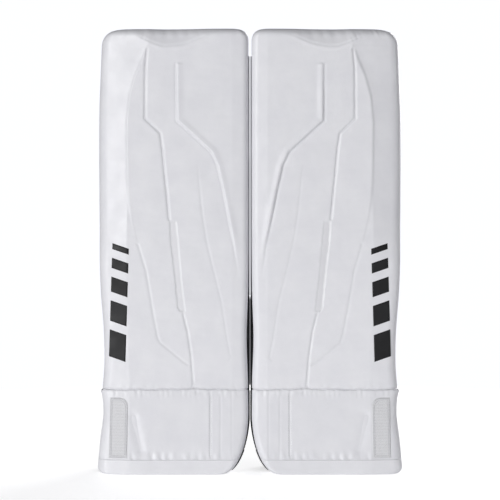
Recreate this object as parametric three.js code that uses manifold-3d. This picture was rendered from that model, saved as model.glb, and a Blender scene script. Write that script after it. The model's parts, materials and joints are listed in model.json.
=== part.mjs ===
// A pair of senior ice-hockey goalie leg pads, standing side by side on their boots as they are worn.
//
// Units are millimetres and +Z is up. The white faces look along -Y and the leg channels open along +Y.
// Each pad is made in a frame of its own. x runs across the leg from the centre line, +x to the outer side.
// y runs from the back of the shin core: the face is at -y and the leg at +y. z runs up from the floor.
// The goalie's left pad stands at +X, and the right pad is its mirror image at -X.
//
// A pad is a foam core with a plastic spine plate in it, under a moulded white cover and a nylon back.
// Behind it are the padded leg channel, two calf wings, a knee wing, a knee stack and the straps.
// The boot is a separate section that flexes about the seam across the face.

import * as THREE from "three";
import { mergeVertices } from "three/addons/utils/BufferGeometryUtils.js";
import Module from "manifold-3d";

const wasm = await Module();
wasm.setup();

// ---------------------------------------------------------------- driving dimensions

const PAD_HEIGHT = 820; // floor to the top of the thigh rise
const PAD_WIDTH = 280; // 11 in, the widest face that the rules allow
const PAD_GAP = 6; // between the two inner edges
const CLEAR = 0.4; // between two pieces that lie against each other
const HALF = PAD_WIDTH / 2;

const FACE_Y = -52; // the flat shin face, in front of the core's back at y 0
const THIGH_LEAN = 32; // how far the top leans forward of the shin
const THIGH_START = 470;
const BOOT_FLARE = 30; // how far the boot's bottom edge stands forward of the shin
const OUTER_FALL = { from: 80, slope: 0.16 }; // the strip up the outer edge falls back to it
const INNER_FALL = { from: -110, slope: 0.13 }; // and the face eases back to its inner edge
const TOP_FALL = { from: 790, slope: 0.7 }; // the bevel across the top
const THIGH_BACK = { start: 560, lean: 42 }; // the core's back leans forward too, up the thigh rise
const BOOT_BACK_LEAN = 44; // and down the boot

const FLEX_Z = 153; // the boot seam, and the height of the axis that the boot flexes about
const FLEX_GAP = 0.6;
const FLEX_WEDGE = THREE.MathUtils.degToRad(6); // the gap behind the seam opens at this angle
const STRIP_TOP = 25; // the wear strip round the boot's bottom edge

const EDGE_RADII = [12, 16]; // from the face round to the inner and the outer side wall
const COVER = 2; // face and boot covers
const PLATE = 1.6; // spine plate
const PLATE_DEPTH = 18; // spine plate ahead of the core's back
const BACK_CLOTH = 1.2;
const PATCH = 0.7; // what is printed or sewn on the face
const STRAP = 3.4;
const BOOT_LINER = 7;

const CALF = { low: 175, high: 430, rear: 112, straps: [245, 380] };
const KNEE = { low: 443, high: 592, rear: 100, strap: 517 };
const STACK = { from: -134, pitch: 17 };
const BOOT = { rear: 64, top: 136, strap: 111 };
const TOE = { tab: 59, strap: 30, width: 25, thickness: 2.6, reach: 24 };
const CHANNEL = { inner: -78, outer: 92 }; // the leg channel's floor
const THIGH_LINER = { low: 612, high: 788, reach: 104, thickness: 9 };
const BINDING = { reach: 139, thickness: 7, overlap: 5 };
const GRAPHIC = { low: 204, high: 414, inner: 88, outer: 118 };
const TAG = { low: 30, high: 138, inner: 83, outer: 117, corner: 15 };

// ---------------------------------------------------------------- the pad's outline and faces

// A smooth function through [at, value] knots: cubic Hermite, each knot's slope taken from its neighbours.
function through(knots) {
  const slope = (i) => {
    const a = knots[Math.max(i - 1, 0)];
    const b = knots[Math.min(i + 1, knots.length - 1)];
    return (b[1] - a[1]) / (b[0] - a[0]);
  };
  return (at) => {
    const z = THREE.MathUtils.clamp(at, knots[0][0], knots.at(-1)[0]);
    const i = Math.max(knots.findIndex((knot) => knot[0] >= z), 1);
    const [z0, v0] = knots[i - 1];
    const [z1, v1] = knots[i];
    const h = z1 - z0;
    const t = (z - z0) / h;
    return (
      v0 * (1 + 2 * t) * (1 - t) ** 2 +
      v1 * (3 - 2 * t) * t ** 2 +
      h * t * (1 - t) * (slope(i - 1) * (1 - t) - slope(i) * t)
    );
  };
}

// How far an elliptical corner pulls an edge in, at a distance from the end of that edge.
function cornerInset(distance, across, along) {
  const rest = THREE.MathUtils.clamp((along - distance) / along, 0, 1);
  return across * (1 - Math.sqrt(1 - rest ** 2));
}

// The side edges' distance from the centre line, by height. Both draw in a little below the knee.
const innerLine = through([[0, HALF], [170, 139], [245, 136.5], [330, 139], [430, HALF], [PAD_HEIGHT, HALF]]);
const outerShinLine = through([
  [FLEX_Z, 133],
  [200, 129.5],
  [260, 130.5],
  [340, 136.5],
  [430, 139],
  [560, HALF],
  [680, 138.5],
  [760, 134],
  [PAD_HEIGHT, 131],
]);
const outerBootLine = through([[0, HALF], [60, 135.5], [105, 131], [135, 132.5], [FLEX_Z, 137]]);

// The outline's elliptical corners: how far each reaches across and along its edge.
const CORNERS = { innerFoot: [48, 110], innerTop: [22, 22], outerFoot: [12, 12], outerTop: [30, 30] };

const innerEdge = (z) =>
  -innerLine(z) + cornerInset(z, ...CORNERS.innerFoot) + cornerInset(PAD_HEIGHT - z, ...CORNERS.innerTop);
const outerEdge = (z) =>
  (z < FLEX_Z ? outerBootLine(z) : outerShinLine(z)) -
  cornerInset(z, ...CORNERS.outerFoot) -
  cornerInset(PAD_HEIGHT - z, ...CORNERS.outerTop);

// The face's place along the pad's middle: the boot flares forward, and the thigh rise leans forward.
function spineY(z) {
  const boot = Math.max(0, (FLEX_Z - z) / FLEX_Z) ** 1.15;
  const thigh = Math.max(0, (z - THIGH_START) / (PAD_HEIGHT - THIGH_START)) ** 1.7;
  return FACE_Y - BOOT_FLARE * boot - THIGH_LEAN * thigh;
}

// The face's own surface: flat across the middle, falling back to both edges and to the top.
function faceY(x, z) {
  const outer = OUTER_FALL.slope * Math.max(0, x - OUTER_FALL.from);
  const inner = INNER_FALL.slope * Math.max(0, INNER_FALL.from - x);
  const top = TOP_FALL.slope * Math.max(0, z - TOP_FALL.from);
  return spineY(z) + outer + inner + top;
}

// The core's back: flat behind the shin, leaning forward with the thigh rise and with the boot.
function backY(z) {
  const thigh = Math.max(0, (z - THIGH_BACK.start) / (PAD_HEIGHT - THIGH_BACK.start)) ** 1.5;
  const boot = Math.max(0, (FLEX_Z - z) / FLEX_Z);
  return -THIGH_BACK.lean * thigh - BOOT_BACK_LEAN * boot;
}

// ---------------------------------------------------------------- making solids

const solidOf = (geometry) => {
  const bare = geometry.clone();
  bare.deleteAttribute("normal");
  bare.deleteAttribute("uv");
  const merged = mergeVertices(bare, 1e-3);
  return new wasm.Manifold(
    new wasm.Mesh({
      numProp: 3,
      vertProperties: merged.attributes.position.array,
      triVerts: new Uint32Array(merged.index.array),
    }),
  );
};

const geometryOf = (solid) => {
  const mesh = solid.getMesh();
  const geometry = new THREE.BufferGeometry();
  geometry.setAttribute("position", new THREE.BufferAttribute(new Float32Array(mesh.vertProperties), 3));
  geometry.setIndex(new THREE.BufferAttribute(new Uint32Array(mesh.triVerts), 1));
  geometry.computeVertexNormals();
  return geometry;
};

const cut = (geometry, ...tools) =>
  geometryOf(tools.reduce((solid, tool) => solid.subtract(solidOf(tool)), solidOf(geometry)));
const keep = (geometry, ...tools) =>
  geometryOf(tools.reduce((solid, tool) => solid.intersect(solidOf(tool)), solidOf(geometry)));

// A closed surface through rings that all have the same number of points, capped at both ends.
function loft(rings) {
  const count = rings[0].length;
  const index = [];
  for (let r = 0; r + 1 < rings.length; r++) {
    for (let i = 0; i < count; i++) {
      const [a, b] = [r * count + i, r * count + ((i + 1) % count)];
      index.push(a, b, b + count, a, b + count, a + count);
    }
  }
  const caps = THREE.ShapeUtils.triangulateShape(rings[0].map((p) => new THREE.Vector2(p.x, p.y)), []);
  const last = (rings.length - 1) * count;
  for (const [a, b, c] of caps) {
    index.push(a, c, b);
    index.push(last + a, last + b, last + c);
  }
  const geometry = new THREE.BufferGeometry().setFromPoints(rings.flat());
  geometry.setIndex(index);
  return geometry;
}

const evenly = (low, high, steps) =>
  Array.from({ length: steps + 1 }, (_, i) => low + ((high - low) * i) / steps);

// A body with a horizontal section at each level: front and back surfaces between a left and a right edge,
// the front corners rounded to the left and right radii. Rings run anticlockwise as seen from above.
// Stations are the places across the section where the surfaces bend, moved in where the section is narrow.
function slab({ levels, left, right, front, back, radii = [0, 0], stations = [] }) {
  const ring = (z) => {
    const [l, r] = [left(z), right(z)];
    const corner = (x, side, radius) =>
      (radius ? evenly(0, Math.PI / 2, 3) : [0]).map((turn) => {
        const inward = x - side * radius;
        const across = inward + side * radius * Math.cos(turn);
        return new THREE.Vector3(across, front(inward, z) + radius * (1 - Math.sin(turn)), z);
      });
    const [first, last] = [l + radii[0] + 1, r - radii[1] - 1];
    const bends = stations.map((x, i) => THREE.MathUtils.clamp(x, first + i, last - stations.length + i));
    const ahead = bends.map((x) => new THREE.Vector3(x, front(x, z), z));
    const behind = [l, ...bends, r].map((x) => new THREE.Vector3(x, back(x, z), z));
    return [...corner(l, -1, radii[0]), ...ahead, ...corner(r, 1, radii[1]).reverse(), ...behind.reverse()];
  };
  return loft(levels.map(ring));
}

// A closed outline through corners, each corner eased by a quadratic curve.
function rounded(corners, radius) {
  const points = corners.map(([a, b]) => new THREE.Vector2(a, b));
  const shape = new THREE.Shape();
  points.forEach((point, i) => {
    const before = points.at(i - 1);
    const after = points[(i + 1) % points.length];
    const enter = point.clone().add(before.clone().sub(point).setLength(radius));
    const leave = point.clone().add(after.clone().sub(point).setLength(radius));
    if (i === 0) shape.moveTo(enter.x, enter.y);
    else shape.lineTo(enter.x, enter.y);
    shape.quadraticCurveTo(point.x, point.y, leave.x, leave.y);
  });
  shape.closePath();
  return shape;
}

const extruded = (shape, thickness, edge) =>
  new THREE.ExtrudeGeometry(shape, {
    depth: thickness - 2 * edge,
    bevelEnabled: edge > 0,
    bevelThickness: edge,
    bevelSize: edge,
    bevelOffset: -edge,
    bevelSegments: 2,
    curveSegments: 3,
  }).translate(0, 0, edge);

// A foam flap seen from the side: its [y, z] corners, and the x that its thickness starts and ends at.
function flap({ corners, from, to, edge = 4, radius = 12 }) {
  const toSide = new THREE.Matrix4().makeBasis(
    new THREE.Vector3(0, 1, 0),
    new THREE.Vector3(0, 0, 1),
    new THREE.Vector3(1, 0, 0),
  );
  return extruded(rounded(corners, radius), to - from, edge).applyMatrix4(toSide).translate(from, 0, 0);
}

// A flat pad seen from behind: its [x, z] corners, and the y that its thickness starts and ends at.
function cushion({ corners, from, to, edge, radius = 16 }) {
  const toBack = new THREE.Matrix4().makeBasis(
    new THREE.Vector3(1, 0, 0),
    new THREE.Vector3(0, 0, 1),
    new THREE.Vector3(0, -1, 0),
  );
  return extruded(rounded(corners, radius), to - from, edge).applyMatrix4(toBack).translate(0, to, 0);
}

// A band of webbing seen from above. It leaves its hinge line on the outer flap, rounds the back of the leg
// and lies flat on its landing on the inner side.
function strap({ from, to, landing, bulge, width, z }) {
  const rise = new THREE.CubicBezierCurve(
    new THREE.Vector2(...from),
    new THREE.Vector2(from[0] - 6, from[1] + bulge * 1.25),
    new THREE.Vector2(to[0] + (from[0] - to[0]) / 4, to[1] + bulge * 1.25),
    new THREE.Vector2(to[0] + landing, to[1]),
  );
  const line = [...rise.getPoints(12), new THREE.Vector2(...to)];
  const side = (sign) =>
    line.map((point, i) => {
      const along = (line[i + 1] ?? point).clone().sub(line[i - 1] ?? point).normalize();
      const across = new THREE.Vector2(-along.y, along.x).multiplyScalar((sign * STRAP) / 2);
      return point.clone().add(across);
    });
  const shape = new THREE.Shape([...side(1), ...side(-1).reverse()]);
  const band = new THREE.ExtrudeGeometry(shape, { depth: width, bevelEnabled: false });
  return band.translate(0, 0, z - width / 2);
}

function box(low, high) {
  const size = high.map((h, i) => h - low[i]);
  const middle = high.map((h, i) => (h + low[i]) / 2);
  return new THREE.BoxGeometry(...size).translate(...middle);
}

// ---------------------------------------------------------------- materials

const paint = (color, roughness) => new THREE.MeshStandardMaterial({ color, roughness, metalness: 0 });
const WHITE_COVER = paint(0xe4e3e8, 0.42);
const WHITE_STRIP = paint(0xe8e8ec, 0.35);
const GREY_PATCH = paint(0xb9b9c0, 0.6);
const BLACK_PRINT = paint(0x16161a, 0.4);
const BLACK_LEATHER = paint(0x1c1c20, 0.5);
const BLACK_NYLON = paint(0x202024, 0.85);
const LINER_MESH = paint(0x34343a, 0.95);
const FOAM = paint(0xd8d4c8, 0.9);
const FIRM_FOAM = paint(0x3c4048, 0.9);
const PLASTIC = paint(0xf0f0f0, 0.35);
const WEBBING = paint(0x18181c, 0.8);

// ---------------------------------------------------------------- layers of the pad

// Where a full-width layer has its points, so that nested layers bend at the same places.
const STATIONS = [INNER_FALL.from, -60, 0, 45, OUTER_FALL.from];
const LAYER_INSET = COVER + CLEAR; // what lies inside a cover

// A full-width layer, inset from the outline. It may run on straight below its first level or above its last:
// that opens a hollow at that end.
function layer({ levels, inset, front, back, radii, below = 0, above = 0 }) {
  const [low, high] = [levels[0], levels.at(-1)];
  const held = (z) => THREE.MathUtils.clamp(z, low, high);
  const ends = [...(below ? [low - below] : []), ...levels, ...(above ? [high + above] : [])];
  return slab({
    levels: ends,
    left: (z) => innerEdge(held(z)) + inset,
    right: (z) => outerEdge(held(z)) - inset,
    front: (x, z) => front(x, held(z)),
    back: (x, z) => back(x, held(z)),
    radii: radii?.map((radius) => radius - inset),
    stations: STATIONS,
  });
}

// ---------------------------------------------------------------- the shin and thigh section

const SHIN_LOW = FLEX_Z + FLEX_GAP / 2;
const SHIN_LEVELS = [SHIN_LOW, 200, 260, 340, 430, 530, 610, 680, 735, 770, 790, 803, 814];

const between = (low, high) => [low, ...SHIN_LEVELS.filter((z) => z > low && z < high), high];
const plateY = (z) => backY(z) - PLATE_DEPTH;

const faceCover = () =>
  cut(
    layer({
      levels: between(SHIN_LOW, PAD_HEIGHT),
      inset: 0,
      front: faceY,
      back: (x, z) => backY(z),
      radii: EDGE_RADII,
    }),
    layer({
      levels: between(SHIN_LOW, PAD_HEIGHT - COVER),
      inset: COVER,
      front: (x, z) => faceY(x, z) + COVER,
      back: (x, z) => backY(z) + 20,
      radii: EDGE_RADII,
      below: 4,
    }),
  );

// The core is nowhere thinner than its rounded edges, and it ends short of the back cover.
const CORE_EDGE = 0.5; // the flat left between a rounded edge and the core's back
const frontCoreBack = (x, z) => {
  const aheadOfPlate = plateY(z) - PLATE / 2 - CLEAR;
  const behindEdges = faceY(x, z) + EDGE_RADII[x < 0 ? 0 : 1] + CORE_EDGE;
  return Math.min(backY(z) - BACK_CLOTH - CLEAR, Math.max(aheadOfPlate, behindEdges));
};
const frontCore = () =>
  layer({
    levels: between(SHIN_LOW, SHIN_LEVELS.at(-1)),
    inset: LAYER_INSET,
    front: (x, z) => faceY(x, z) + LAYER_INSET,
    back: frontCoreBack,
    radii: EDGE_RADII,
  });

const spinePlate = () =>
  layer({
    levels: between(SHIN_LOW + 22, PAD_HEIGHT - 55),
    inset: 24,
    front: (x, z) => plateY(z) - PLATE / 2,
    back: (x, z) => plateY(z) + PLATE / 2,
  });

const rearCore = () =>
  layer({
    levels: between(SHIN_LOW, 770),
    inset: LAYER_INSET,
    front: (x, z) => plateY(z) + PLATE / 2 + CLEAR,
    back: (x, z) => backY(z) - BACK_CLOTH - CLEAR,
  });

const backCover = () =>
  layer({
    levels: between(SHIN_LOW, SHIN_LEVELS.at(-1)),
    inset: LAYER_INSET,
    front: (x, z) => backY(z) - BACK_CLOTH,
    back: (x, z) => backY(z),
  });

// The black binding roll where the inner side wall meets the back.
// Down the shin it stands out far enough to fill the hollow of the inner edge.
const bindingReach = (z) => (z > 165 && z < 330 ? BINDING.reach + 3 : BINDING.reach);
const innerEdgeBinding = () =>
  slab({
    levels: [160, 172, 200, 260, 322, 346, ...between(430, 770)],
    left: (z) => -bindingReach(z),
    right: (z) => innerEdge(z) + BINDING.overlap,
    front: (x, z) => backY(z) + CLEAR,
    back: (x, z) => backY(z) + BINDING.thickness,
  });

// The outer lower face carries a slanted bar of black print.
const sideGraphic = () =>
  slab({
    levels: evenly(GRAPHIC.low, GRAPHIC.high, 5),
    left: (z) => GRAPHIC.inner - 0.03 * (z - GRAPHIC.low),
    right: (z) => GRAPHIC.outer + 0.01 * (z - GRAPHIC.low),
    front: (x, z) => faceY(x, z) - CLEAR - PATCH,
    back: (x, z) => faceY(x, z) - CLEAR,
  });

// A lining cushion that fills the leg channel's floor between two heights.
function channelCushion({ low, high, thickness, edge }) {
  const { inner, outer } = CHANNEL;
  return cushion({
    corners: [[inner, low], [outer, low], [outer, high], [inner, high]],
    from: CLEAR,
    to: thickness,
    edge,
  });
}
const shinLiner = () => channelCushion({ low: 170, high: 436, thickness: 11, edge: 3 });
const kneeCradle = () => channelCushion({ low: 440, high: 600, thickness: 18, edge: 5 });

const thighLinerEdge = (z) =>
  THIGH_LINER.reach - cornerInset(THIGH_LINER.high - z, 20, 20) - cornerInset(z - THIGH_LINER.low, 12, 12);
const thighLiner = () =>
  slab({
    levels: [THIGH_LINER.low, 620, ...SHIN_LEVELS.filter((z) => z > 620 && z < 780), 780, THIGH_LINER.high],
    left: (z) => -thighLinerEdge(z),
    right: thighLinerEdge,
    front: (x, z) => backY(z) + CLEAR,
    back: (x, z) => backY(z) + THIGH_LINER.thickness,
  });

// One of three foam blocks side by side, from the knee out to the edge that slides on the ice.
function kneeStackBlock(place) {
  const { low, high, rear } = KNEE;
  const from = STACK.from + place * STACK.pitch;
  const corners = [[CLEAR, low], [rear - 8, low], [rear, low + 30], [rear, high], [CLEAR, high]];
  return flap({ corners, from, to: from + STACK.pitch - CLEAR, edge: 3 });
}

// ---------------------------------------------------------------- the wings and their straps

// A wing's base stands clear of the pad's back, so that it can turn about its hinge line.
const BASE = 3;
const INNER_CALF = { from: -105, to: -83, edge: 6 };
const OUTER_WING = { from: 97, to: 111, edge: 5 };

function calfWing(place) {
  const { low, high, rear } = CALF;
  const corners = [[BASE, low + 10], [rear - 24, low], [rear, low + 34], [rear, high], [BASE, high]];
  return flap({ corners, ...place });
}

function kneeWing(place) {
  const { low, high, rear } = KNEE;
  return flap({
    corners: [[BASE, low + 4], [rear, low + 14], [rear, high - 26], [rear - 26, high], [BASE, high]],
    ...place,
  });
}

// A strap's middle plane stands behind the wings' rear edges by this much.
const STRAP_STANDOFF = 3.8;

const calfStrap = (z, bulge) =>
  strap({
    from: [104, CALF.rear + STRAP_STANDOFF],
    to: [-104, CALF.rear + STRAP_STANDOFF],
    landing: 24,
    bulge,
    width: 50,
    z,
  });

const kneeStrap = () =>
  strap({
    from: [104, KNEE.rear + STRAP_STANDOFF],
    to: [-130, KNEE.rear + STRAP_STANDOFF],
    landing: 50,
    bulge: 40,
    width: 66,
    z: KNEE.strap,
  });

// ---------------------------------------------------------------- the boot section

const BOOT_FLOOR = 3; // the wear strip's thickness under the foam
const BOOT_LEVELS = [BOOT_FLOOR, 7, 12, 20, 32, 50, 75, 105, 130, FLEX_Z];

// Everything below a plane through the flex axis that drops towards the back.
function belowFlexPlane() {
  const region = box([-300, -200, -600], [300, 300, 0]);
  return region.rotateX(-FLEX_WEDGE).translate(0, FACE_Y, FLEX_Z - FLEX_GAP / 2);
}

function bootSkin() {
  const outside = layer({
    levels: [0, ...BOOT_LEVELS],
    inset: 0,
    front: faceY,
    back: (x, z) => backY(z),
    radii: EDGE_RADII,
  });
  const inside = layer({
    levels: BOOT_LEVELS,
    inset: COVER,
    front: (x, z) => faceY(x, z) + COVER,
    back: (x, z) => backY(z) + 20,
    radii: EDGE_RADII,
    above: 20,
  });
  return keep(cut(outside, inside), belowFlexPlane());
}

const bootCover = () => keep(bootSkin(), box([-200, -200, STRIP_TOP + CLEAR], [200, 200, 400]));
const bootWearStrip = () => keep(bootSkin(), box([-200, -200, -1], [200, 200, STRIP_TOP]));

const bootCore = () =>
  keep(
    layer({
      levels: [BOOT_FLOOR + CLEAR, ...BOOT_LEVELS.slice(1)],
      inset: LAYER_INSET,
      front: (x, z) => faceY(x, z) + LAYER_INSET,
      back: (x, z) => backY(z),
      radii: EDGE_RADII,
    }),
    belowFlexPlane(),
  );

const bootEdgeBinding = () =>
  slab({
    levels: [STRIP_TOP + 3, ...BOOT_LEVELS.filter((z) => z > STRIP_TOP + 3 && z < 130), 142],
    left: (z) => innerEdge(z) - 1.6,
    right: (z) => innerEdge(z) + BINDING.overlap,
    front: (x, z) => backY(z) + CLEAR,
    back: (x, z) => backY(z) + BINDING.thickness,
  });

const bootLiner = () =>
  slab({
    levels: [12, 138],
    left: () => -80,
    right: () => 84,
    front: (x, z) => backY(z) + CLEAR,
    back: (x, z) => backY(z) + BOOT_LINER,
  });

const bootTag = () =>
  slab({
    levels: [TAG.low, 50, 75, 105, 123, 128, 133, TAG.high],
    left: (z) => TAG.inner + cornerInset(TAG.high - z, TAG.corner, TAG.corner),
    right: () => TAG.outer,
    front: (x, z) => faceY(x, z) - CLEAR - PATCH,
    back: (x, z) => faceY(x, z) - CLEAR,
  });

// The boot's back leans forward as it goes down, so a boot wing starts on a leaning line.
const bootWing = (from, to) =>
  flap({
    corners: [
      [backY(0) + BASE, 0],
      [BOOT.rear - 14, 0],
      [BOOT.rear, 44],
      [BOOT.rear, BOOT.top],
      [backY(BOOT.top) + BASE, BOOT.top],
    ],
    from,
    to,
    edge: 4,
    radius: 10,
  });

const bootStrap = () =>
  strap({
    from: [98, BOOT.rear + STRAP_STANDOFF],
    to: [-94, BOOT.rear + STRAP_STANDOFF],
    landing: 20,
    bulge: 30,
    width: 38,
    z: BOOT.strap,
  });

// The toe strap is an elastic loop that hangs from a tab low on the boot's liner.
const linerBack = (z) => backY(z) + BOOT_LINER + CLEAR;
const toeTab = () =>
  slab({
    levels: [TOE.tab - 15, TOE.tab + 15],
    left: () => -TOE.reach,
    right: () => TOE.reach,
    front: (x, z) => linerBack(z),
    back: (x, z) => linerBack(z) + TOE.thickness,
  });

const toeStrap = () => {
  const { reach, width, strap: z } = TOE;
  const loop = strap({ from: [reach, 0], to: [-reach, 0], landing: 6, bulge: 26, width, z });
  return loop.translate(0, linerBack(z + width / 2) + STRAP_STANDOFF, 0);
};

// ---------------------------------------------------------------- one pad

const PIECES = [
  ["face_cover", faceCover(), WHITE_COVER],
  ["front_foam_core", frontCore(), FOAM],
  ["spine_plate", spinePlate(), PLASTIC],
  ["rear_foam_core", rearCore(), FIRM_FOAM],
  ["back_cover", backCover(), BLACK_NYLON],
  ["inner_edge_binding", innerEdgeBinding(), BLACK_LEATHER],
  ["side_graphic", sideGraphic(), BLACK_PRINT],
  ["shin_liner", shinLiner(), LINER_MESH],
  ["knee_cradle", kneeCradle(), LINER_MESH],
  ["thigh_liner", thighLiner(), BLACK_NYLON],
  ["knee_stack_ice_block", kneeStackBlock(0), BLACK_LEATHER],
  ["knee_stack_middle_block", kneeStackBlock(1), FIRM_FOAM],
  ["knee_stack_inner_block", kneeStackBlock(2), BLACK_NYLON],
  ["inner_calf_wing", calfWing(INNER_CALF), BLACK_NYLON],
  ["outer_calf_wing", calfWing(OUTER_WING), WHITE_COVER],
  ["outer_knee_wing", kneeWing(OUTER_WING), WHITE_COVER],
  ["knee_strap", kneeStrap(), WEBBING],
  ["upper_calf_strap", calfStrap(CALF.straps[1], 42), WEBBING],
  ["lower_calf_strap", calfStrap(CALF.straps[0], 36), WEBBING],
  ["boot_cover", bootCover(), WHITE_COVER],
  ["boot_foam_core", bootCore(), FOAM],
  ["boot_wear_strip", bootWearStrip(), WHITE_STRIP],
  ["boot_edge_binding", bootEdgeBinding(), BLACK_LEATHER],
  ["boot_liner", bootLiner(), LINER_MESH],
  ["boot_tag", bootTag(), GREY_PATCH],
  ["inner_boot_wing", bootWing(-102, -86), BLACK_NYLON],
  ["outer_boot_wing", bootWing(91, 105), WHITE_COVER],
  ["boot_strap", bootStrap(), WEBBING],
  ["toe_tab", toeTab(), BLACK_LEATHER],
  ["toe_strap", toeStrap(), WEBBING],
];

// The goalie's pad on one side: the left pad as it is made, the right pad mirrored.
function pad(side, mirror) {
  const group = new THREE.Group();
  for (const [name, geometry, material] of PIECES) {
    const mesh = new THREE.Mesh(geometry, material);
    mesh.name = `${side}_${name}`;
    group.add(mesh);
  }
  group.scale.x = mirror;
  group.position.x = mirror * (PAD_GAP / 2 + HALF);
  return group;
}

// ---------------------------------------------------------------- the pair

const pair = new THREE.Group();
pair.add(pad("left", 1), pad("right", -1));

// The origin is on the floor, in the middle of the pair's depth.
pair.updateMatrixWorld(true);
const extent = new THREE.Box3().setFromObject(pair);
pair.position.y = -(extent.min.y + extent.max.y) / 2;

export default pair;
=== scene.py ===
"""The looks of a pair of ice-hockey goalie leg pads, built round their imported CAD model.

Each pad is worked out in a frame of its own, in millimetres: u runs across the leg from the pad's centre
line, positive to the outer side, v runs back from the rear of the shin core, and z runs up from the floor.
place() turns that into the row frame's metres, and mirrors it for the goalie's right pad.
"""

import json
import math

import bpy
import numpy as np
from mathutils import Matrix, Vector


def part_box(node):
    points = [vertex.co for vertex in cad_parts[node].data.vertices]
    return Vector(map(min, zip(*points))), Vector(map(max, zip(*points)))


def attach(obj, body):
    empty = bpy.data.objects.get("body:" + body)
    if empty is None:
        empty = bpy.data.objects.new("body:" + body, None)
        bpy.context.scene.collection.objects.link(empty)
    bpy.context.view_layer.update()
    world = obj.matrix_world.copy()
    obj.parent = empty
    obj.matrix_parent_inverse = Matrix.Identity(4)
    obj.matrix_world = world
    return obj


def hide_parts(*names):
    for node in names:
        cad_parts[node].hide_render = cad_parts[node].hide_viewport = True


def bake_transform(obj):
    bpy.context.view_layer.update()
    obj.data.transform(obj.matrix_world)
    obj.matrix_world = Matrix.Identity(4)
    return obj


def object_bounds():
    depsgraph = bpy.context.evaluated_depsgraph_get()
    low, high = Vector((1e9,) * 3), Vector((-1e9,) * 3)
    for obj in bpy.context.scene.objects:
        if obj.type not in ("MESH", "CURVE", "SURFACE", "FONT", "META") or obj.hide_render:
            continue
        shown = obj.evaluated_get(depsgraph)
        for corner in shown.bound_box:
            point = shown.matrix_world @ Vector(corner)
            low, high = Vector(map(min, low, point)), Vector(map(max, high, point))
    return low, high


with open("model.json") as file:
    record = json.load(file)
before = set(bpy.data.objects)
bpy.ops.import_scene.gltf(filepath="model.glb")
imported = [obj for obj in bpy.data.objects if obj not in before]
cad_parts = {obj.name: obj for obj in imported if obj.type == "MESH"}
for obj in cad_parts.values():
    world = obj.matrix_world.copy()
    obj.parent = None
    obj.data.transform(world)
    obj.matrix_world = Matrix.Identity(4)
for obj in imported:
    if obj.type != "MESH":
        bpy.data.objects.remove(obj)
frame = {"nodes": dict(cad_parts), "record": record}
CAD_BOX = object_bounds()

MM = 0.001
SIDES = {"left": 1, "right": -1}

# ------------------------------------------------------------------ the pad's dimensions, in millimetres

CLEAR = 0.4  # between two pieces that lie against each other
HALF = 140.0  # half the pad's width
HEIGHT = 820.0
PAD_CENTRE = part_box("left_face_cover")[0].x / MM + HALF
CORE_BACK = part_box("left_shin_liner")[0].y / MM - CLEAR  # where v is 0 in the row frame

FACE_V = -52.0  # the face's place along the shin
THIGH = {"start": 470.0, "lean": 32.0, "back_start": 560.0, "back_lean": 42.0}
BOOT_LEAN = {"front": 30.0, "back": 44.0}
SEAM_Z = 153.0  # the seam between the shin and the boot
SEAM_HALF_GAP = 0.3
SEAM_WEDGE = math.tan(math.radians(6))  # how steeply the wedge under the seam opens towards the back
STRIP_TOP = 25.0  # the wear strip's upper edge
COVER = 2.0  # the covers' thickness
INNER_FALL = {"start": -110.0, "slope": 0.13}  # how the face falls back near its inner edge
ROLL = {"inner": 12.0, "outer": 18.0, "top": 16.0}  # the radius of each edge of the face


def through(knots):
    """A smooth function through (at, value) knots: cubic Hermite, with slopes taken from the neighbours."""
    at, value = np.array(knots, float).T
    before = np.maximum(np.arange(len(at)) - 1, 0)
    after = np.minimum(np.arange(len(at)) + 1, len(at) - 1)
    slope = (value[after] - value[before]) / (at[after] - at[before])

    def curve(x):
        x = np.clip(x, at[0], at[-1])
        i = np.clip(np.searchsorted(at, x), 1, len(at) - 1)
        span = at[i] - at[i - 1]
        t = (x - at[i - 1]) / span
        ends = value[i - 1] * (1 + 2 * t) * (1 - t) ** 2 + value[i] * (3 - 2 * t) * t**2
        return ends + span * t * (1 - t) * (slope[i - 1] * (1 - t) - slope[i] * t)

    return curve


inner_line = through([(0, 140), (170, 139), (245, 136.5), (330, 139), (430, 140), (820, 140)])
outer_shin_line = through(
    [(153, 133), (200, 129.5), (260, 130.5), (340, 136.5), (430, 139)]
    + [(560, 140), (680, 138.5), (760, 134), (820, 131)]
)
outer_boot_line = through([(0, 140), (60, 135.5), (105, 131), (135, 132.5), (153, 137)])


def smooth(low, high, x):
    """0 below low, 1 above high, and an ease between."""
    t = np.clip((np.asarray(x, float) - low) / (high - low), 0, 1)
    return t * t * (3 - 2 * t)


def bell(distance, width):
    """1 at no distance, with an even fall to both sides that is nearly over at twice the width."""
    return np.exp(-((distance / width) ** 2))


def corner(distance, across, along):
    """How far an elliptical corner pulls an edge in, at a distance from the end of that edge."""
    rest = np.clip((along - distance) / along, 0, 1)
    return across * (1 - np.sqrt(1 - rest**2))


def inner_edge(z):
    """The pad's edge on the inner side of the leg."""
    return -inner_line(z) + corner(z, 48, 110) + corner(HEIGHT - z, 22, 22)


def outer_edge(z):
    """The pad's edge on the outer side of the leg."""
    line = np.where(z < SEAM_Z, outer_boot_line(z), outer_shin_line(z))
    return line - corner(z, 12, 12) - corner(HEIGHT - z, 30, 30)


def spine(z):
    """The face's place along the pad's middle."""
    boot = np.maximum(0, (SEAM_Z - z) / SEAM_Z) ** 1.15
    thigh = np.maximum(0, (z - THIGH["start"]) / (HEIGHT - THIGH["start"])) ** 1.7
    return FACE_V - BOOT_LEAN["front"] * boot - THIGH["lean"] * thigh


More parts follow.
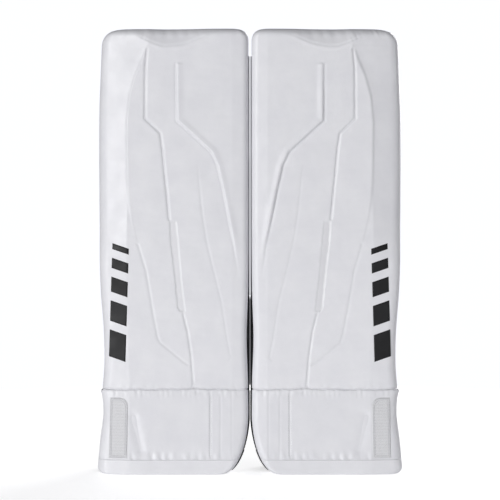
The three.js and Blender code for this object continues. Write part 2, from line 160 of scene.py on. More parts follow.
def back(z):
    """The core's back."""
    thigh = np.maximum(0, (z - THIGH["back_start"]) / (HEIGHT - THIGH["back_start"])) ** 1.5
    boot = np.maximum(0, (SEAM_Z - z) / SEAM_Z)
    return -THIGH["back_lean"] * thigh - BOOT_LEAN["back"] * boot


# ------------------------------------------------------------------ the relief moulded into the face

# Each line runs downwards, as (u, z) points. What lies on its outer side has a positive distance.
OUTER_GROOVE = [(46, 787), (50, 745), (51.5, 655), (23.5, 628)]
OUTER_GROOVE += [(19.5, 600), (15.7, 557), (11, 510), (7, 466)]
BAND_OUTER = [(7, 466), (4.6, 428), (-4, 350), (-8, 305), (-17, 288)]
BAND_INNER = [(-6, 466), (-8.5, 440), (-16.5, 350), (-22, 305)]
LOWER_GROOVE = [(-17, 300), (-22, 280), (-27, 260), (-33.5, 215), (-37.5, 165), (-38, 150)]
INNER_STEP = [(-6, 757), (-6, 650), (-70, 592), (-81, 568)]
INNER_STEP += [(-92, 520), (-101.5, 470), (-112, 420), (-123, 350)]
FAINT_CREASE = [(-45, 572), (-54, 480), (-62, 430), (-73, 382)]
FAINT_CREASE += [(-90, 315), (-101, 241), (-107, 213), (-101, 204)]
ROLL_CREASE = [(44, 790), (55, 762), (68, 733), (79, 695), (84, 648)]
ROLL_CREASE += [(84, 557), (81, 503), (76, 470), (66, 425)]
ROLL_CREASE_LOW = [(66, 425), (50, 372), (39, 305), (28, 248), (24, 240), (-20, 204), (-33, 196)]
BOOT_DENT = [(73, 104), (58, 44)]
BOOT_SEAMS = {-69.5: 1.2, -88.0: 0.5, -109.0: 0.5}

BAND_LOW, BAND_HIGH = 298.0, 466.0

# Where the outer strip starts to fall back, at each height, and how far the top's bevel reaches down.
roll_start = through(
    [(153, 80), (400, 86), (440, 86), (557, 84), (648, 84), (695, 79), (733, 68), (762, 55), (790, 44)]
)
lens_depth = through(
    [(-140, 8), (-100, 9), (-66, 13), (-26, 28), (14, 33), (40, 25), (68, 13), (100, 9), (140, 4)]
)


def distance_to(line, u, z):
    """The signed distance from points to a line, how far along it the nearest points lie, and its length."""
    best = np.full(u.shape, 1e9)
    signed = np.zeros(u.shape)
    along = np.zeros(u.shape)
    start = 0.0
    for (u0, z0), (u1, z1) in zip(line, line[1:]):
        du, dz = u1 - u0, z1 - z0
        length = math.hypot(du, dz)
        t = np.clip(((u - u0) * du + (z - z0) * dz) / length**2, 0, 1)
        away = np.hypot(u - u0 - t * du, z - z0 - t * dz)
        side = np.sign(du * (z - z0) - dz * (u - u0))
        nearer = away < best
        best = np.where(nearer, away, best)
        signed = np.where(nearer, away * side, signed)
        along = np.where(nearer, start + t * length, along)
        start += length
    return signed, along, start


def groove(line, u, z, depth, width, fade=(6, 6)):
    """A soft-sided groove along a line, which dies out over the fade lengths at its two ends."""
    away, along, length = distance_to(line, u, z)
    ends = smooth(0, fade[0], along) * smooth(0, fade[1], length - along)
    return -depth * bell(away, width) * ends


def roll_step(u, z):
    """The outer strip's edge: a short drop, and a slow rise back beyond it."""
    away, along, length = distance_to(ROLL_CREASE, u, z)
    drop = -1.8 * smooth(-1, 4.5, away) * np.exp(-(np.maximum(0, away - 4.5) ** 2) / (2 * 15.0**2))
    return drop * smooth(0, 14, along) * (1 - smooth(length - 110, length, along))


def inner_panel(u, z):
    """The raised inner panel: a narrow wall that faces outwards, a crest, and a slow fall beyond it."""
    away, along, length = distance_to(INNER_STEP, u, z)
    inward = -away
    crest = 2.2 * np.exp(-(np.maximum(0, inward - 4) ** 2) / (2 * 5.0**2))
    plateau = 2.0 * bell(np.maximum(0, inward - 4), 60)
    crest = crest * smooth(0, 5, along) + plateau * smooth(0, 90, along)
    height = smooth(0, 4.0, inward) * crest - 0.9 * bell(away, 2.4) * smooth(0, 5, along)
    return height * (1 - smooth(length - 150, length, along))


def inside_band(u, z):
    """1 inside the slanting band that joins the outer groove to the lower one, and 0 outside it."""
    outer = distance_to(BAND_OUTER, u, z)[0]
    inner = distance_to(BAND_INNER, u, z)[0]
    within = smooth(-0.8, 0.8, -outer) * smooth(-0.8, 0.8, inner)
    return within * smooth(BAND_LOW - 2, BAND_LOW + 2, z) * (1 - smooth(BAND_HIGH - 2, BAND_HIGH + 1, z))


def ripple(u, z, seed, length, count=9):
    """A soft unevenness of height about 1, from waves of about that length in fixed directions."""
    rng = np.random.default_rng(seed)
    total = np.zeros(np.broadcast(u, z).shape)
    for _ in range(count):
        turn, phase, stretch = rng.uniform(0, math.tau), rng.uniform(0, math.tau), rng.uniform(0.6, 1.7)
        wave = math.tau / (length * stretch)
        total += np.sin(wave * (u * math.cos(turn) + z * math.sin(turn)) + phase)
    return total / math.sqrt(count)


def puckers(across, away, seed, reach, pitch):
    """Small gathers beside a seam: ripples along it that die out within the reach."""
    return ripple(across, 0 * across, seed, pitch, 5) * bell(away, reach)


def lens_start(u):
    """The lower edge of the bevel across the top, which sags in the middle."""
    return HEIGHT - lens_depth(u)


def shin_relief(u, z):
    """How far the relief of the shin and the thigh stands forward, in millimetres.

    It is the sum of the grooves and steps, the sunk band, the crease under the top's bevel, the gathers along
    the top, its outer corner and the seam, one knot in the seam, and the cover's soft unevenness.
    """
    height = groove(OUTER_GROOVE, u, z, 2.2, 2.3, (8, 2))
    height += groove(LOWER_GROOVE, u, z, 1.6, 2.2, (10, 1))
    height += groove(FAINT_CREASE, u, z, 0.6, 2.6, (40, 12))
    height += roll_step(u, z)
    height += groove(ROLL_CREASE_LOW, u, z, 0.9, 2.6, (2, 8))
    height += inner_panel(u, z)
    band = inside_band(u, z)
    slant = np.clip((z - BAND_HIGH) * 0.115 + 7 - u, 0, 13) / 13
    height -= band * (1.9 - 1.1 * slant)
    crease = lens_start(u)
    middle = smooth(-76, -50, u) * (1 - smooth(46, 74, u))
    height -= 0.9 * bell(z - crease, 1.8) * (0.35 + 0.65 * middle)
    height += 0.6 * bell(z - crease + 4.5, 2.6) * middle
    height += 0.45 * puckers(u, HEIGHT - 9 - z, 11, 9, 13)
    height += 0.55 * puckers(u + 0.4 * z, z - crease - 4, 13, 7, 6) * smooth(30, 60, u)
    height += 0.35 * puckers(u, z - SEAM_Z - 4, 12, 6, 10)
    knot = np.exp(-(((u + 40) / 9) ** 2) - ((z - SEAM_Z - 4) / 5) ** 2)
    height -= 1.4 * knot
    height += 0.22 * ripple(u, z, 5, 70) + 0.07 * ripple(u, z, 6, 19)
    return height


def boot_relief(u, z):
    """The same for the boot: its upright seams, the gathers along its two edges, a dent and a knot."""
    height = np.zeros(u.shape)
    along_seam = smooth(26, 34, z) * (1 - smooth(143, 151, z))
    for seam, depth in BOOT_SEAMS.items():
        height -= depth * bell(u - seam, 1.7) * along_seam
    gathers = 0.85 * puckers(u, z - STRIP_TOP - 5, 21, 9, 9) * smooth(STRIP_TOP, STRIP_TOP + 3, z)
    height += gathers * (1 - 0.85 * smooth(74, 84, u))
    height += 0.4 * puckers(u, SEAM_Z - 5 - z, 22, 7, 12)
    height -= 2.2 * bell(distance_to(BOOT_DENT, u, z)[0], 9)
    height -= 1.0 * np.exp(-(((u + 47) / 8) ** 2) - ((z - SEAM_Z + 5) / 4) ** 2)
    height += 0.2 * ripple(u, z, 7, 60)
    return height


def falls(u, z):
    """How far the face falls back to its outer edge, its inner edge and its top."""
    steep = (0.14 + 0.19 * smooth(380, 470, z)) * (1 - 0.42 * smooth(690, 770, z))
    outer = steep * np.maximum(0, u - roll_start(z))
    inner = INNER_FALL["slope"] * np.maximum(0, INNER_FALL["start"] - u)
    bevel = 0.4 * np.maximum(0, z - lens_start(u))
    edge = corner(HEIGHT - z, ROLL["top"], ROLL["top"])
    return outer + inner + bevel + edge


def face(u, z, relief=True):
    """The visible face."""
    height = np.where(z > SEAM_Z, shin_relief(u, z), boot_relief(u, z)) if relief else 0
    return spine(z) + falls(u, z) - height


# ------------------------------------------------------------------ making meshes


def place(points, mirror):
    """Points from a pad's own frame to the row frame."""
    points = np.asarray(points, float)
    out = np.empty(points.shape)
    out[..., 0] = mirror * (PAD_CENTRE + points[..., 0])
    out[..., 1] = points[..., 1] + CORE_BACK
    out[..., 2] = points[..., 2]
    return out * MM


def volume_of(mesh):
    """Below zero where a closed mesh's faces point inwards."""
    mesh.calc_loop_triangles()
    corners = np.empty(3 * len(mesh.loop_triangles), np.int32)
    mesh.loop_triangles.foreach_get("vertices", corners)
    places = np.empty(3 * len(mesh.vertices), np.float32)
    mesh.vertices.foreach_get("co", places)
    a, b, c = places.reshape(-1, 3)[corners].reshape(-1, 3, 3).astype(float).transpose(1, 0, 2)
    return (a * np.cross(b, c)).sum() / 6


def put(side, name, points, faces, finish, body, stands_for=(), marks=None):
    """Makes one piece of a pad, which takes its slot from its finish and may replace CAD nodes.

    It rides on a body, unless that is None, when the caller bakes it in place on no body. marks are named
    values for each point, which the material reads.
    """
    mesh = bpy.data.meshes.new(f"{side}_{name}_look")
    flat = place(points, SIDES[side]).reshape(-1, 3)
    mesh.from_pydata(flat.tolist(), [], faces)
    if volume_of(mesh) < 0:
        mesh.flip_normals()
    mesh.polygons.foreach_set("use_smooth", np.ones(len(mesh.polygons), bool))
    for mark, values in (marks or {}).items():
        attribute = mesh.attributes.new(mark, "FLOAT", "POINT")
        attribute.data.foreach_set("value", values.astype(np.float32).ravel())
    mesh.materials.append(FINISHES[finish])
    piece = bpy.data.objects.new(f"{side}_{name}_look", mesh)
    bpy.context.scene.collection.objects.link(piece)
    if body is not None:
        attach(piece, f"{side}_{body}")
    if stands_for:
        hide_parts(*[f"{side}_{node}" for node in stands_for])
    return piece


def bridged(piece, side, low, high):
    """Bakes a piece's transform into its mesh, so that it rides on no body. low and high, two (u, v, z)
    places, are not used.
    """
    start, end = place([low, high], SIDES[side])
    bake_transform(piece)


def grid_faces(rows, cols, start=0, flip=False, wrap=False):
    """The quads of a grid of points, row by row. A wrapped grid joins its last column to its first."""
    i = np.arange(rows - 1)[:, None] * cols + np.arange(cols if wrap else cols - 1)[None, :]
    right = np.where((i % cols) == cols - 1, i - cols + 1, i + 1)
    quads = np.stack([i, right, right + cols, i + cols], -1).reshape(-1, 4) + start
    return [tuple(q) for q in (quads[:, ::-1] if flip else quads).tolist()]


def shell(outer, inner, step):
    """A closed skin: an outer grid joined round its rim to an inner one that has every step-th point."""
    rows, cols = outer.shape[:2]
    in_rows, in_cols = inner.shape[:2]
    faces = grid_faces(rows, cols) + grid_faces(in_rows, in_cols, rows * cols, flip=True)
    fine = np.arange(rows * cols).reshape(rows, cols)
    coarse = rows * cols + np.arange(in_rows * in_cols).reshape(in_rows, in_cols)
    for a, b in zip(rims(fine), rims(coarse)):
        for k in range(len(b) - 1):
            faces.append((*reversed(a[k * step : (k + 1) * step + 1].tolist()), int(b[k]), int(b[k + 1])))
    return np.concatenate([outer.reshape(-1, 3), inner.reshape(-1, 3)]), faces


def end_faces(rows, cols):
    """The two faces that close the ends of a wrapped grid."""
    return [tuple(range(cols - 1, -1, -1)), tuple((rows - 1) * cols + i for i in range(cols))]


def rims(index):
    """A grid's four edges, each in the direction that its quads run along it."""
    return [index[0], index[:, -1], index[-1][::-1], index[:, 0][::-1]]


def normals_of(grid):
    """Unit normals of a grid of points, pointing to the side that its quads face."""
    across = np.gradient(grid, axis=1)
    along = np.gradient(grid, axis=0)
    normal = np.cross(across, along)
    return normal / np.maximum(np.linalg.norm(normal, axis=-1, keepdims=True), 1e-9)


def tube(path, radius, sides=8, closed=False):
    """A round tube along a path of points, capped unless it closes on itself."""
    path = np.asarray(path, float)
    along = np.roll(path, -1, 0) - np.roll(path, 1, 0)
    if not closed:
        along[0], along[-1] = path[1] - path[0], path[-1] - path[-2]
    along /= np.linalg.norm(along, axis=1, keepdims=True)
    up = np.array([0.0, 0.0, 1.0])
    if abs(along @ up).max() > 0.95:
        up = np.array([0.0, 1.0, 0.0]) if abs(along[:, 1]).max() < 0.95 else np.array([1.0, 0.0, 0.0])
    side = np.cross(along, up)
    side /= np.linalg.norm(side, axis=1, keepdims=True)
    other = np.cross(side, along)
    turn = np.linspace(0, math.tau, sides, endpoint=False)
    radii = np.broadcast_to(radius, len(path))[:, None, None]
    ring = np.cos(turn)[None, :, None] * side[:, None] + np.sin(turn)[None, :, None] * other[:, None]
    points = path[:, None] + radii * ring
    faces = grid_faces(len(path), sides, wrap=True)
    if closed:
        last = (len(path) - 1) * sides
        faces += [(last + i, last + (i + 1) % sides, (i + 1) % sides, i) for i in range(sides)]
    else:
        faces += end_faces(len(path), sides)
    return points.reshape(-1, 3), faces


def run_along(line):
    """How far along a line each of its points lies."""
    return np.concatenate([[0], np.cumsum(np.linalg.norm(np.diff(line, axis=0), axis=1))])


def joined(parts):
    """Several (points, faces) as one."""
    points, faces, start = [], [], 0
    for some, theirs in parts:
        some = np.asarray(some, float).reshape(-1, 3)
        points.append(some)
        faces += [tuple(i + start for i in f) for f in theirs]
        start += len(some)
    return np.concatenate(points), faces


def stitches(path, normal, pitch=4.5, length=3.1, radius=0.38, gap_start=2.0):
    """A row of thread stitches: short beads that dip into the surface at both ends."""
    path = np.asarray(path, float)
    normal = np.broadcast_to(np.asarray(normal, float), path.shape)
    run = run_along(path)
    parts = []
    for start in np.arange(gap_start, run[-1] - length, pitch):
        at = start + length * np.linspace(0, 1, 5)
        line = np.stack([np.interp(at, run, path[:, k]) for k in range(3)], 1)
        out = np.stack([np.interp(at, run, normal[:, k]) for k in range(3)], 1)
        rise = radius * np.array([-0.9, 0.35, 0.6, 0.35, -0.9])[:, None]
        parts.append(tube(line + out * rise, radius * np.array([0.55, 0.95, 1, 0.95, 0.55]), 6))
    return joined(parts)


# ------------------------------------------------------------------ materials


class Recipe:
    """A material's node tree, with short calls for the nodes that the finishes share."""

    def __init__(self, name, colour, roughness, sheen=0.0, specular=0.5):
        self.material = bpy.data.materials.new(name)
        self.material.use_nodes = True
        self.tree = self.material.node_tree
        self.shader = self.tree.nodes["Principled BSDF"]
        self.shader.inputs["Base Color"].default_value = (*colour, 1)
        self.shader.inputs["Roughness"].default_value = roughness
        self.shader.inputs["Specular IOR Level"].default_value = specular
        self.shader.inputs["Sheen Weight"].default_value = sheen
        self.shader.inputs["Sheen Roughness"].default_value = 0.4
        self.place = self.node("ShaderNodeTexCoord").outputs["Object"]
        self.bumped = None

    def node(self, kind, inputs=(), **settings):
        made = self.tree.nodes.new(kind)
        for key, value in settings.items():
            setattr(made, key, value)
        for key, value in dict(inputs).items():
            if isinstance(value, bpy.types.NodeSocket):
                self.tree.links.new(value, made.inputs[key])
            else:
                made.inputs[key].default_value = value
        return made

    def maths(self, operation, a, b=0.0):
        return self.node("ShaderNodeMath", {0: a, 1: b}, operation=operation).outputs[0]

    def noise(self, size, detail=2.0, roughness=0.5):
        """Noise with features of about that size, in millimetres."""
        inputs = {"Vector": self.place, "Scale": 1 / (size * MM), "Detail": detail, "Roughness": roughness}
        return self.node("ShaderNodeTexNoise", inputs).outputs["Fac"]

    def cells(self, size, feature="F1"):
        inputs = {"Vector": self.place, "Scale": 1 / (size * MM)}
        return self.node("ShaderNodeTexVoronoi", inputs, feature=feature).outputs["Distance"]

    def mapped(self, value, low, high, to_low=0.0, to_high=1.0):
        inputs = {"Value": value, "From Min": low, "From Max": high, "To Min": to_low, "To Max": to_high}
        return self.node("ShaderNodeMapRange", inputs).outputs["Result"]

    def mark(self, name):
        return self.node("ShaderNodeAttribute", attribute_name=name).outputs["Fac"]

    def colours(self, factor, low, high):
        """A colour between two, by a factor."""
        mix = self.node("ShaderNodeMix", {0: factor}, data_type="RGBA")
        mix.inputs[6].default_value = (*low, 1)
        mix.inputs[7].default_value = (*high, 1)
        return mix.outputs[2]

    def tinted(self, factor, base, high):
        """A linked colour, moved towards another by a factor."""
        mix = self.node("ShaderNodeMix", {0: factor, 6: base}, data_type="RGBA")
        mix.inputs[7].default_value = (*high, 1)
        return mix.outputs[2]

    def bump(self, height, depth, strength=1.0):
        """Raises the surface by depth millimetres where the height is 1."""
        inputs = {"Height": height, "Distance": depth * MM, "Strength": strength}
        if self.bumped is not None:
            inputs["Normal"] = self.bumped
        self.bumped = self.node("ShaderNodeBump", inputs).outputs["Normal"]

    def paint(self, colour=None, roughness=None):
        for key, value in (("Base Color", colour), ("Roughness", roughness), ("Normal", self.bumped)):
            if value is not None:
                self.tree.links.new(value, self.shader.inputs[key])
        return self.material

    def either(self, factor, a, b):
        """a where the factor is 0, and b where it is 1."""
        return self.node("ShaderNodeMix", {0: factor, 2: a, 3: b}).outputs[0]

    def flat_place(self):
        """Two coordinates across the surface, in millimetres, chosen by which way it faces."""
        split = self.node("ShaderNodeSeparateXYZ", {0: self.place}).outputs
        normal = self.node("ShaderNodeTexCoord").outputs["Normal"]
        facing = self.node("ShaderNodeSeparateXYZ", {0: normal}).outputs
        x, y, z = (self.maths("ABSOLUTE", facing[k]) for k in range(3))
        sideways = self.maths("GREATER_THAN", x, self.maths("MAXIMUM", y, z))
        level = self.maths("GREATER_THAN", z, self.maths("MAXIMUM", x, y))
        first = self.either(sideways, split[0], split[1])
        second = self.either(level, split[2], split[1])
        return self.maths("MULTIPLY", first, 1 / MM), self.maths("MULTIPLY", second, 1 / MM)

    def weave(self, pitch, across, up):
        """A plain weave's height, 0 to 1: threads of that pitch that pass over and under each other."""
        a = self.maths("MULTIPLY", across, math.pi / pitch)
        b = self.maths("MULTIPLY", up, math.pi / pitch)
        crossing = self.maths("MULTIPLY", self.maths("SINE", a), self.maths("SINE", b))
        return self.mapped(crossing, -1, 1)


def leather(name, colour, shade, roughness, grain=0.9, depth=0.10, specular=0.5, marked=False):
    """Synthetic leather: a pebble grain, slow mottling of its colour, and an uneven polish."""
    recipe = Recipe(name, colour, roughness, specular=specular)
    pebbles = recipe.cells(grain)
    recipe.bump(recipe.mapped(recipe.noise(7, 3), 0.3, 0.7), 0.12, 0.35)
    recipe.bump(pebbles, -depth, 0.35)
    tone = recipe.mapped(recipe.noise(45, 4, 0.55), 0.35, 0.65)
    base = recipe.colours(tone, colour, shade)
    if marked:
        # Painted shade: darker over the sunk band.
        base = recipe.tinted(recipe.mark("band"), base, tuple(0.93 * c for c in colour))
        # Painted shade: darker down in the grooves and along the seams.
        base = recipe.tinted(recipe.mark("painted_shade"), base, tuple(0.74 * c for c in shade))
    polish = recipe.mapped(recipe.noise(30, 3), 0.3, 0.7, roughness - 0.05, roughness + 0.07)
    return recipe.paint(base, polish)


def woven(name, colour, shade, pitch, roughness, depth=0.25, sheen=0.15):
    """Woven nylon: over-and-under threads, with painted shade in the valleys and a slow change of tone."""
    recipe = Recipe(name, colour, roughness, sheen)
    height = recipe.weave(pitch, *recipe.flat_place())
    recipe.bump(recipe.noise(0.5, 2), 0.05, 0.4)
    recipe.bump(height, depth, 0.7)
    tone = recipe.maths("MULTIPLY", height, recipe.mapped(recipe.noise(25, 3), 0.3, 0.7, 0.6, 1.0))
    return recipe.paint(recipe.colours(tone, shade, colour))


def knitted(name, colour, hole, pitch=3.0):
    """Spacer mesh: a knit with rows of small round holes, painted near black: the dark layer seen through
    them, and painted shade in them.
    """
    recipe = Recipe(name, colour, 0.95, 0.3)
    across, up = recipe.flat_place()
    height = recipe.weave(pitch / 2, recipe.maths("ADD", across, up), recipe.maths("SUBTRACT", across, up))
    open_part = recipe.mapped(height, 0.0, 0.34)
    recipe.bump(recipe.weave(0.7, across, up), 0.08, 0.5)
    recipe.bump(open_part, 0.6, 0.8)
    return recipe.paint(recipe.colours(open_part, hole, colour))


def webbing(name, colour, shade):
    """Strap webbing: ribs along its length, crossed by finer threads, and painted darker between the ribs as
    painted shade.
    """
    recipe = Recipe(name, colour, 0.75, 0.2)
    across, up = recipe.flat_place()
    ribs = recipe.weave(1.7, recipe.maths("ADD", across, up), up)
    recipe.bump(recipe.noise(0.4, 2), 0.05, 0.4)
    recipe.bump(ribs, 0.35, 0.8)
    tone = recipe.colours(ribs, shade, colour)
    return recipe.paint(tone, recipe.mapped(recipe.noise(20), 0.3, 0.7, 0.66, 0.84))


def fleece(name, colour, shade, size=1.1, depth=0.7):
    """The loop side of hook-and-loop tape, or a brushed lining, painted darker where its fuzz sinks: painted
    shade.
    """
    recipe = Recipe(name, colour, 1.0, 0.5)
    fuzz = recipe.noise(size, 6, 0.75)
    recipe.bump(fuzz, depth, 0.9)
    return recipe.paint(recipe.colours(recipe.mapped(fuzz, 0.35, 0.65), shade, colour))


def foam(name, colour, shade, size=0.9):
    """Cut closed-cell foam, with a slow change of tone, and painted shade in its cell pits."""
    recipe = Recipe(name, colour, 0.92)
    cells = recipe.cells(size)
    recipe.bump(cells, 0.3, 0.7)
    tone = recipe.mapped(recipe.noise(18, 4), 0.3, 0.7)
    painted_pit_shade = recipe.mapped(cells, 0.0, 0.25, 0.5, 0.0)
    return recipe.paint(recipe.tinted(painted_pit_shade, recipe.colours(tone, colour, shade), shade))


def plastic(name, colour, roughness, swirl=25):
    """Moulded sheet plastic with a faint flow pattern and light scuffs."""
    recipe = Recipe(name, colour, roughness)
    recipe.bump(recipe.noise(0.6, 2), 0.03, 0.3)
    scuff = recipe.mapped(recipe.noise(swirl, 5, 0.7), 0.5, 0.7, 0.0, 0.5)
    tone = recipe.colours(scuff, colour, tuple(0.85 * c for c in colour))
    polish = recipe.mapped(recipe.noise(6, 4), 0.3, 0.7, roughness - 0.06, roughness + 0.1)
    return recipe.paint(tone, polish)


def embroidery(name, colour, shade):
    """Satin-stitched patch: fine parallel threads in slanting rows, painted darker between them as painted
    shade, with a slow change of tone.
    """
    recipe = Recipe(name, colour, 0.5, 0.3)
    across, up = recipe.flat_place()
    slant = recipe.maths("ADD", across, recipe.maths("MULTIPLY", up, 0.45))
    threads = recipe.maths("SINE", recipe.maths("MULTIPLY", slant, math.tau / 0.9))
    rows = recipe.maths("SINE", recipe.maths("MULTIPLY", up, math.tau / 5.5))
    height = recipe.mapped(recipe.maths("ADD", threads, recipe.maths("MULTIPLY", rows, 0.5)), -1.5, 1.5)
    recipe.bump(height, 0.3, 0.8)
    tone = recipe.maths("MULTIPLY", height, recipe.mapped(recipe.noise(12, 3), 0.3, 0.7, 0.7, 1.0))
    return recipe.paint(recipe.colours(tone, shade, colour))


# Each finish's colour, the darker colour that it takes in its hollows as painted shade or in its random
# patches, and its own measures.
FINISHES = {
    "white_cover": leather("white_cover", (0.80, 0.80, 0.83), (0.765, 0.765, 0.80), 0.46, marked=True),
    "white_strip": leather("white_strip", (0.82, 0.82, 0.85), (0.79, 0.79, 0.82), 0.42, 0.7, 0.05, 0.4),
    "white_thread": woven("white_thread", (0.80, 0.80, 0.82), (0.66, 0.66, 0.69), 0.5, 0.6, 0.05),
    "white_piping": leather("white_piping", (0.78, 0.78, 0.81), (0.74, 0.74, 0.77), 0.5, 0.6, 0.04),
    "grey_patch": embroidery("grey_patch", (0.79, 0.79, 0.81), (0.69, 0.69, 0.71)),
    "grey_thread": woven("grey_thread", (0.60, 0.60, 0.63), (0.45, 0.45, 0.48), 0.6, 0.55, 0.08),
    "black_print": leather("black_print", (0.006, 0.006, 0.007), (0.01, 0.01, 0.012), 0.5, 0.9, 0.05, 0.3),
    "black_leather": leather("black_leather", (0.026, 0.026, 0.029), (0.04, 0.04, 0.044), 0.40, 1.1, 0.16),
    "black_nylon": woven("black_nylon", (0.050, 0.051, 0.057), (0.014, 0.014, 0.017), 1.1, 0.62),
    "black_thread": woven("black_thread", (0.24, 0.24, 0.26), (0.13, 0.13, 0.14), 0.5, 0.5, 0.05),
    "liner_mesh": knitted("liner_mesh", (0.080, 0.083, 0.094), (0.010, 0.010, 0.013)),
    "webbing": webbing("webbing", (0.036, 0.036, 0.041), (0.010, 0.010, 0.012)),
    "hook_tape": fleece("hook_tape", (0.045, 0.045, 0.050), (0.018, 0.018, 0.021)),
    "firm_foam": foam("firm_foam", (0.045, 0.048, 0.058), (0.030, 0.032, 0.040)),
    "soft_foam": foam("soft_foam", (0.62, 0.60, 0.52), (0.52, 0.50, 0.42)),
    "spine_plastic": plastic("spine_plastic", (0.82, 0.82, 0.82), 0.32),
}


# ------------------------------------------------------------------ the covers


def sections(levels, columns, inset=0.0, relief=True):
    """A grid of points with one section of the covers at each level.

    A section runs forward along the inner side wall, round its roll, across the face, and back along the
    outer wall. columns are the numbers of steps up a wall, round a roll and across the face.
    """
    wall, turn, across = columns
    angle = np.linspace(0, math.pi / 2, turn + 1)
    grid = []
    for z in levels:
        left, right = inner_edge(z) + inset, outer_edge(z) - inset
        r_in, r_out = ROLL["inner"] - inset, ROLL["outer"] - inset
        a, b = left + r_in, right - r_out
        middle = a + (b - a) * np.linspace(0, 1, across + 1)[1:-1]
        to_side, to_front = 1 - np.sin(angle), 1 - np.cos(angle)
        u = np.concatenate([left + r_in * to_side[::-1], middle, right - r_out * to_side])
        fall = np.concatenate([r_in * to_front[::-1], 0 * middle, r_out * to_front])
        v = face(u, np.full(u.shape, z), relief) + inset + fall
        rear = back(z)
        share = np.linspace(0, 1, wall + 1)
        first = np.stack([np.full(wall, left), (rear + (v[0] - rear) * share)[:-1]], 1)
        last = np.stack([np.full(wall, right), (v[-1] + (rear - v[-1]) * share)[1:]], 1)
        ring = np.concatenate([first, np.stack([u, v], 1), last])
        grid.append(np.column_stack([ring, np.full(len(ring), z)]))
    return np.array(grid)


WALL, TURN = 5, 9  # steps up a side wall, and round the roll between it and the face


def columns_across(across, step):
    """The columns of a section, few enough across the face for a whole number of steps in all."""
    return WALL, TURN, across - (2 * WALL + 2 * TURN + across) % step


def crowned_levels(low, high, radius, spacing):
    """Levels at an even spacing, drawn together over the last radius so that a round edge stays round."""
    straight = np.linspace(low, high - radius, int(round((high - radius - low) / spacing)) + 1)
    angle = np.linspace(0, math.pi / 2, int(round(radius * 1.7 / spacing)) + 1)[1:]
    return np.concatenate([straight, high - radius + radius * np.sin(angle)])


def trimmed(count, step):
    """The largest number of points, up to count, whose ends are a whole number of steps apart."""
    return (count - 1) // step * step + 1


def capped(grid, rows, to_back):
    """Adds rows that close a grid's last row over to the back line, level with it."""
    last = grid[-1]
    target = last.copy()
    target[:, 1] = to_back
    share = np.linspace(0, 1, rows + 1)[1:]
    return np.concatenate([grid, last + share[:, None, None] * (target - last)])


SPACING = 1.7  # between the points of the visible skin
COARSE = 6  # how many of them there are to each point of the lining
ACROSS = int((2 * HALF - 30) / SPACING)
TUCK = 1.9  # how far a cover dips into the seam
CAP_ROWS = 5


def face_cover(side):
    """The white cover of the shin and thigh, closed over its top."""
    columns = columns_across(ACROSS, COARSE)
    levels = crowned_levels(SEAM_Z + SEAM_HALF_GAP, HEIGHT, 30, SPACING)
    extra = (len(levels) - 1 + CAP_ROWS) % COARSE
    levels = np.delete(levels, np.arange(10, 10 + 3 * extra, 3))
    grid = sections(levels, columns)
    tuck = TUCK * corner(levels - SEAM_Z, 1.0, 4.5)
    grid[:, WALL:-WALL, 1] += tuck[:, None]
    under = levels - COVER * (levels - levels[0]) / (HEIGHT - levels[0])
    inside = sections(under, columns, inset=COVER, relief=False)
    grid, lining = [capped(rows, CAP_ROWS, back(HEIGHT)) for rows in (grid, inside)]
    points, faces = shell(grid, lining[::COARSE, ::COARSE], COARSE)
    u, z = points[:, 0], points[:, 2]
    # These marks paint the cover darker over the sunk band and along its grooves and seam: painted shade.
    marks = {"band": inside_band(u, z) * (points[:, 1] < -20), "painted_shade": painted_shade_of(u, z)}
    points[:, 2] += seam_wave(points)
    piece = put(side, "face_cover", points, faces, "white_cover", "pad", ["face_cover"], marks)


def seam_wave(points):
    """How far the seam between shin and boot strays from its level, at points near it on the front."""
    u = points[..., 0]
    stray = 1.6 * bell(u + 42, 36) + 0.5 * np.sin(u / 8.3) + 0.35 * np.sin(u / 3.1 + 1)
    near = bell(points[..., 2] - SEAM_Z, 9.0)
    return stray * near * (1 - smooth(FACE_V + 12, FACE_V + 30, points[..., 1]))


# Painted shade: each groove or crease line, and how much darker the cover is painted along it.
PAINTED_SHADE_LINES = [(OUTER_GROOVE, 0.5), (LOWER_GROOVE, 0.4), (ROLL_CREASE, 0.25), (ROLL_CREASE_LOW, 0.2)]
PAINTED_SHADE_LINES += [(FAINT_CREASE, 0.12)]


def painted_shade_of(u, z):
    """Painted shade: how much darker the cover is painted down in the grooves, beside the inner panel's wall
    and along the seam.
    """
    painted_shade = np.zeros(u.shape)
    for line, strength in PAINTED_SHADE_LINES:
        painted_shade = np.maximum(painted_shade, strength * -groove(line, u, z, 1.0, 1.7))
    step = distance_to(INNER_STEP, u, z)[0]
    painted_shade = np.maximum(painted_shade, 0.3 * bell(step - 0.8, 1.6) * smooth(400, 560, z) * (z < 757))
    painted_shade = np.maximum(painted_shade, 0.3 * bell(z - SEAM_Z, 2.2))
    return painted_shade


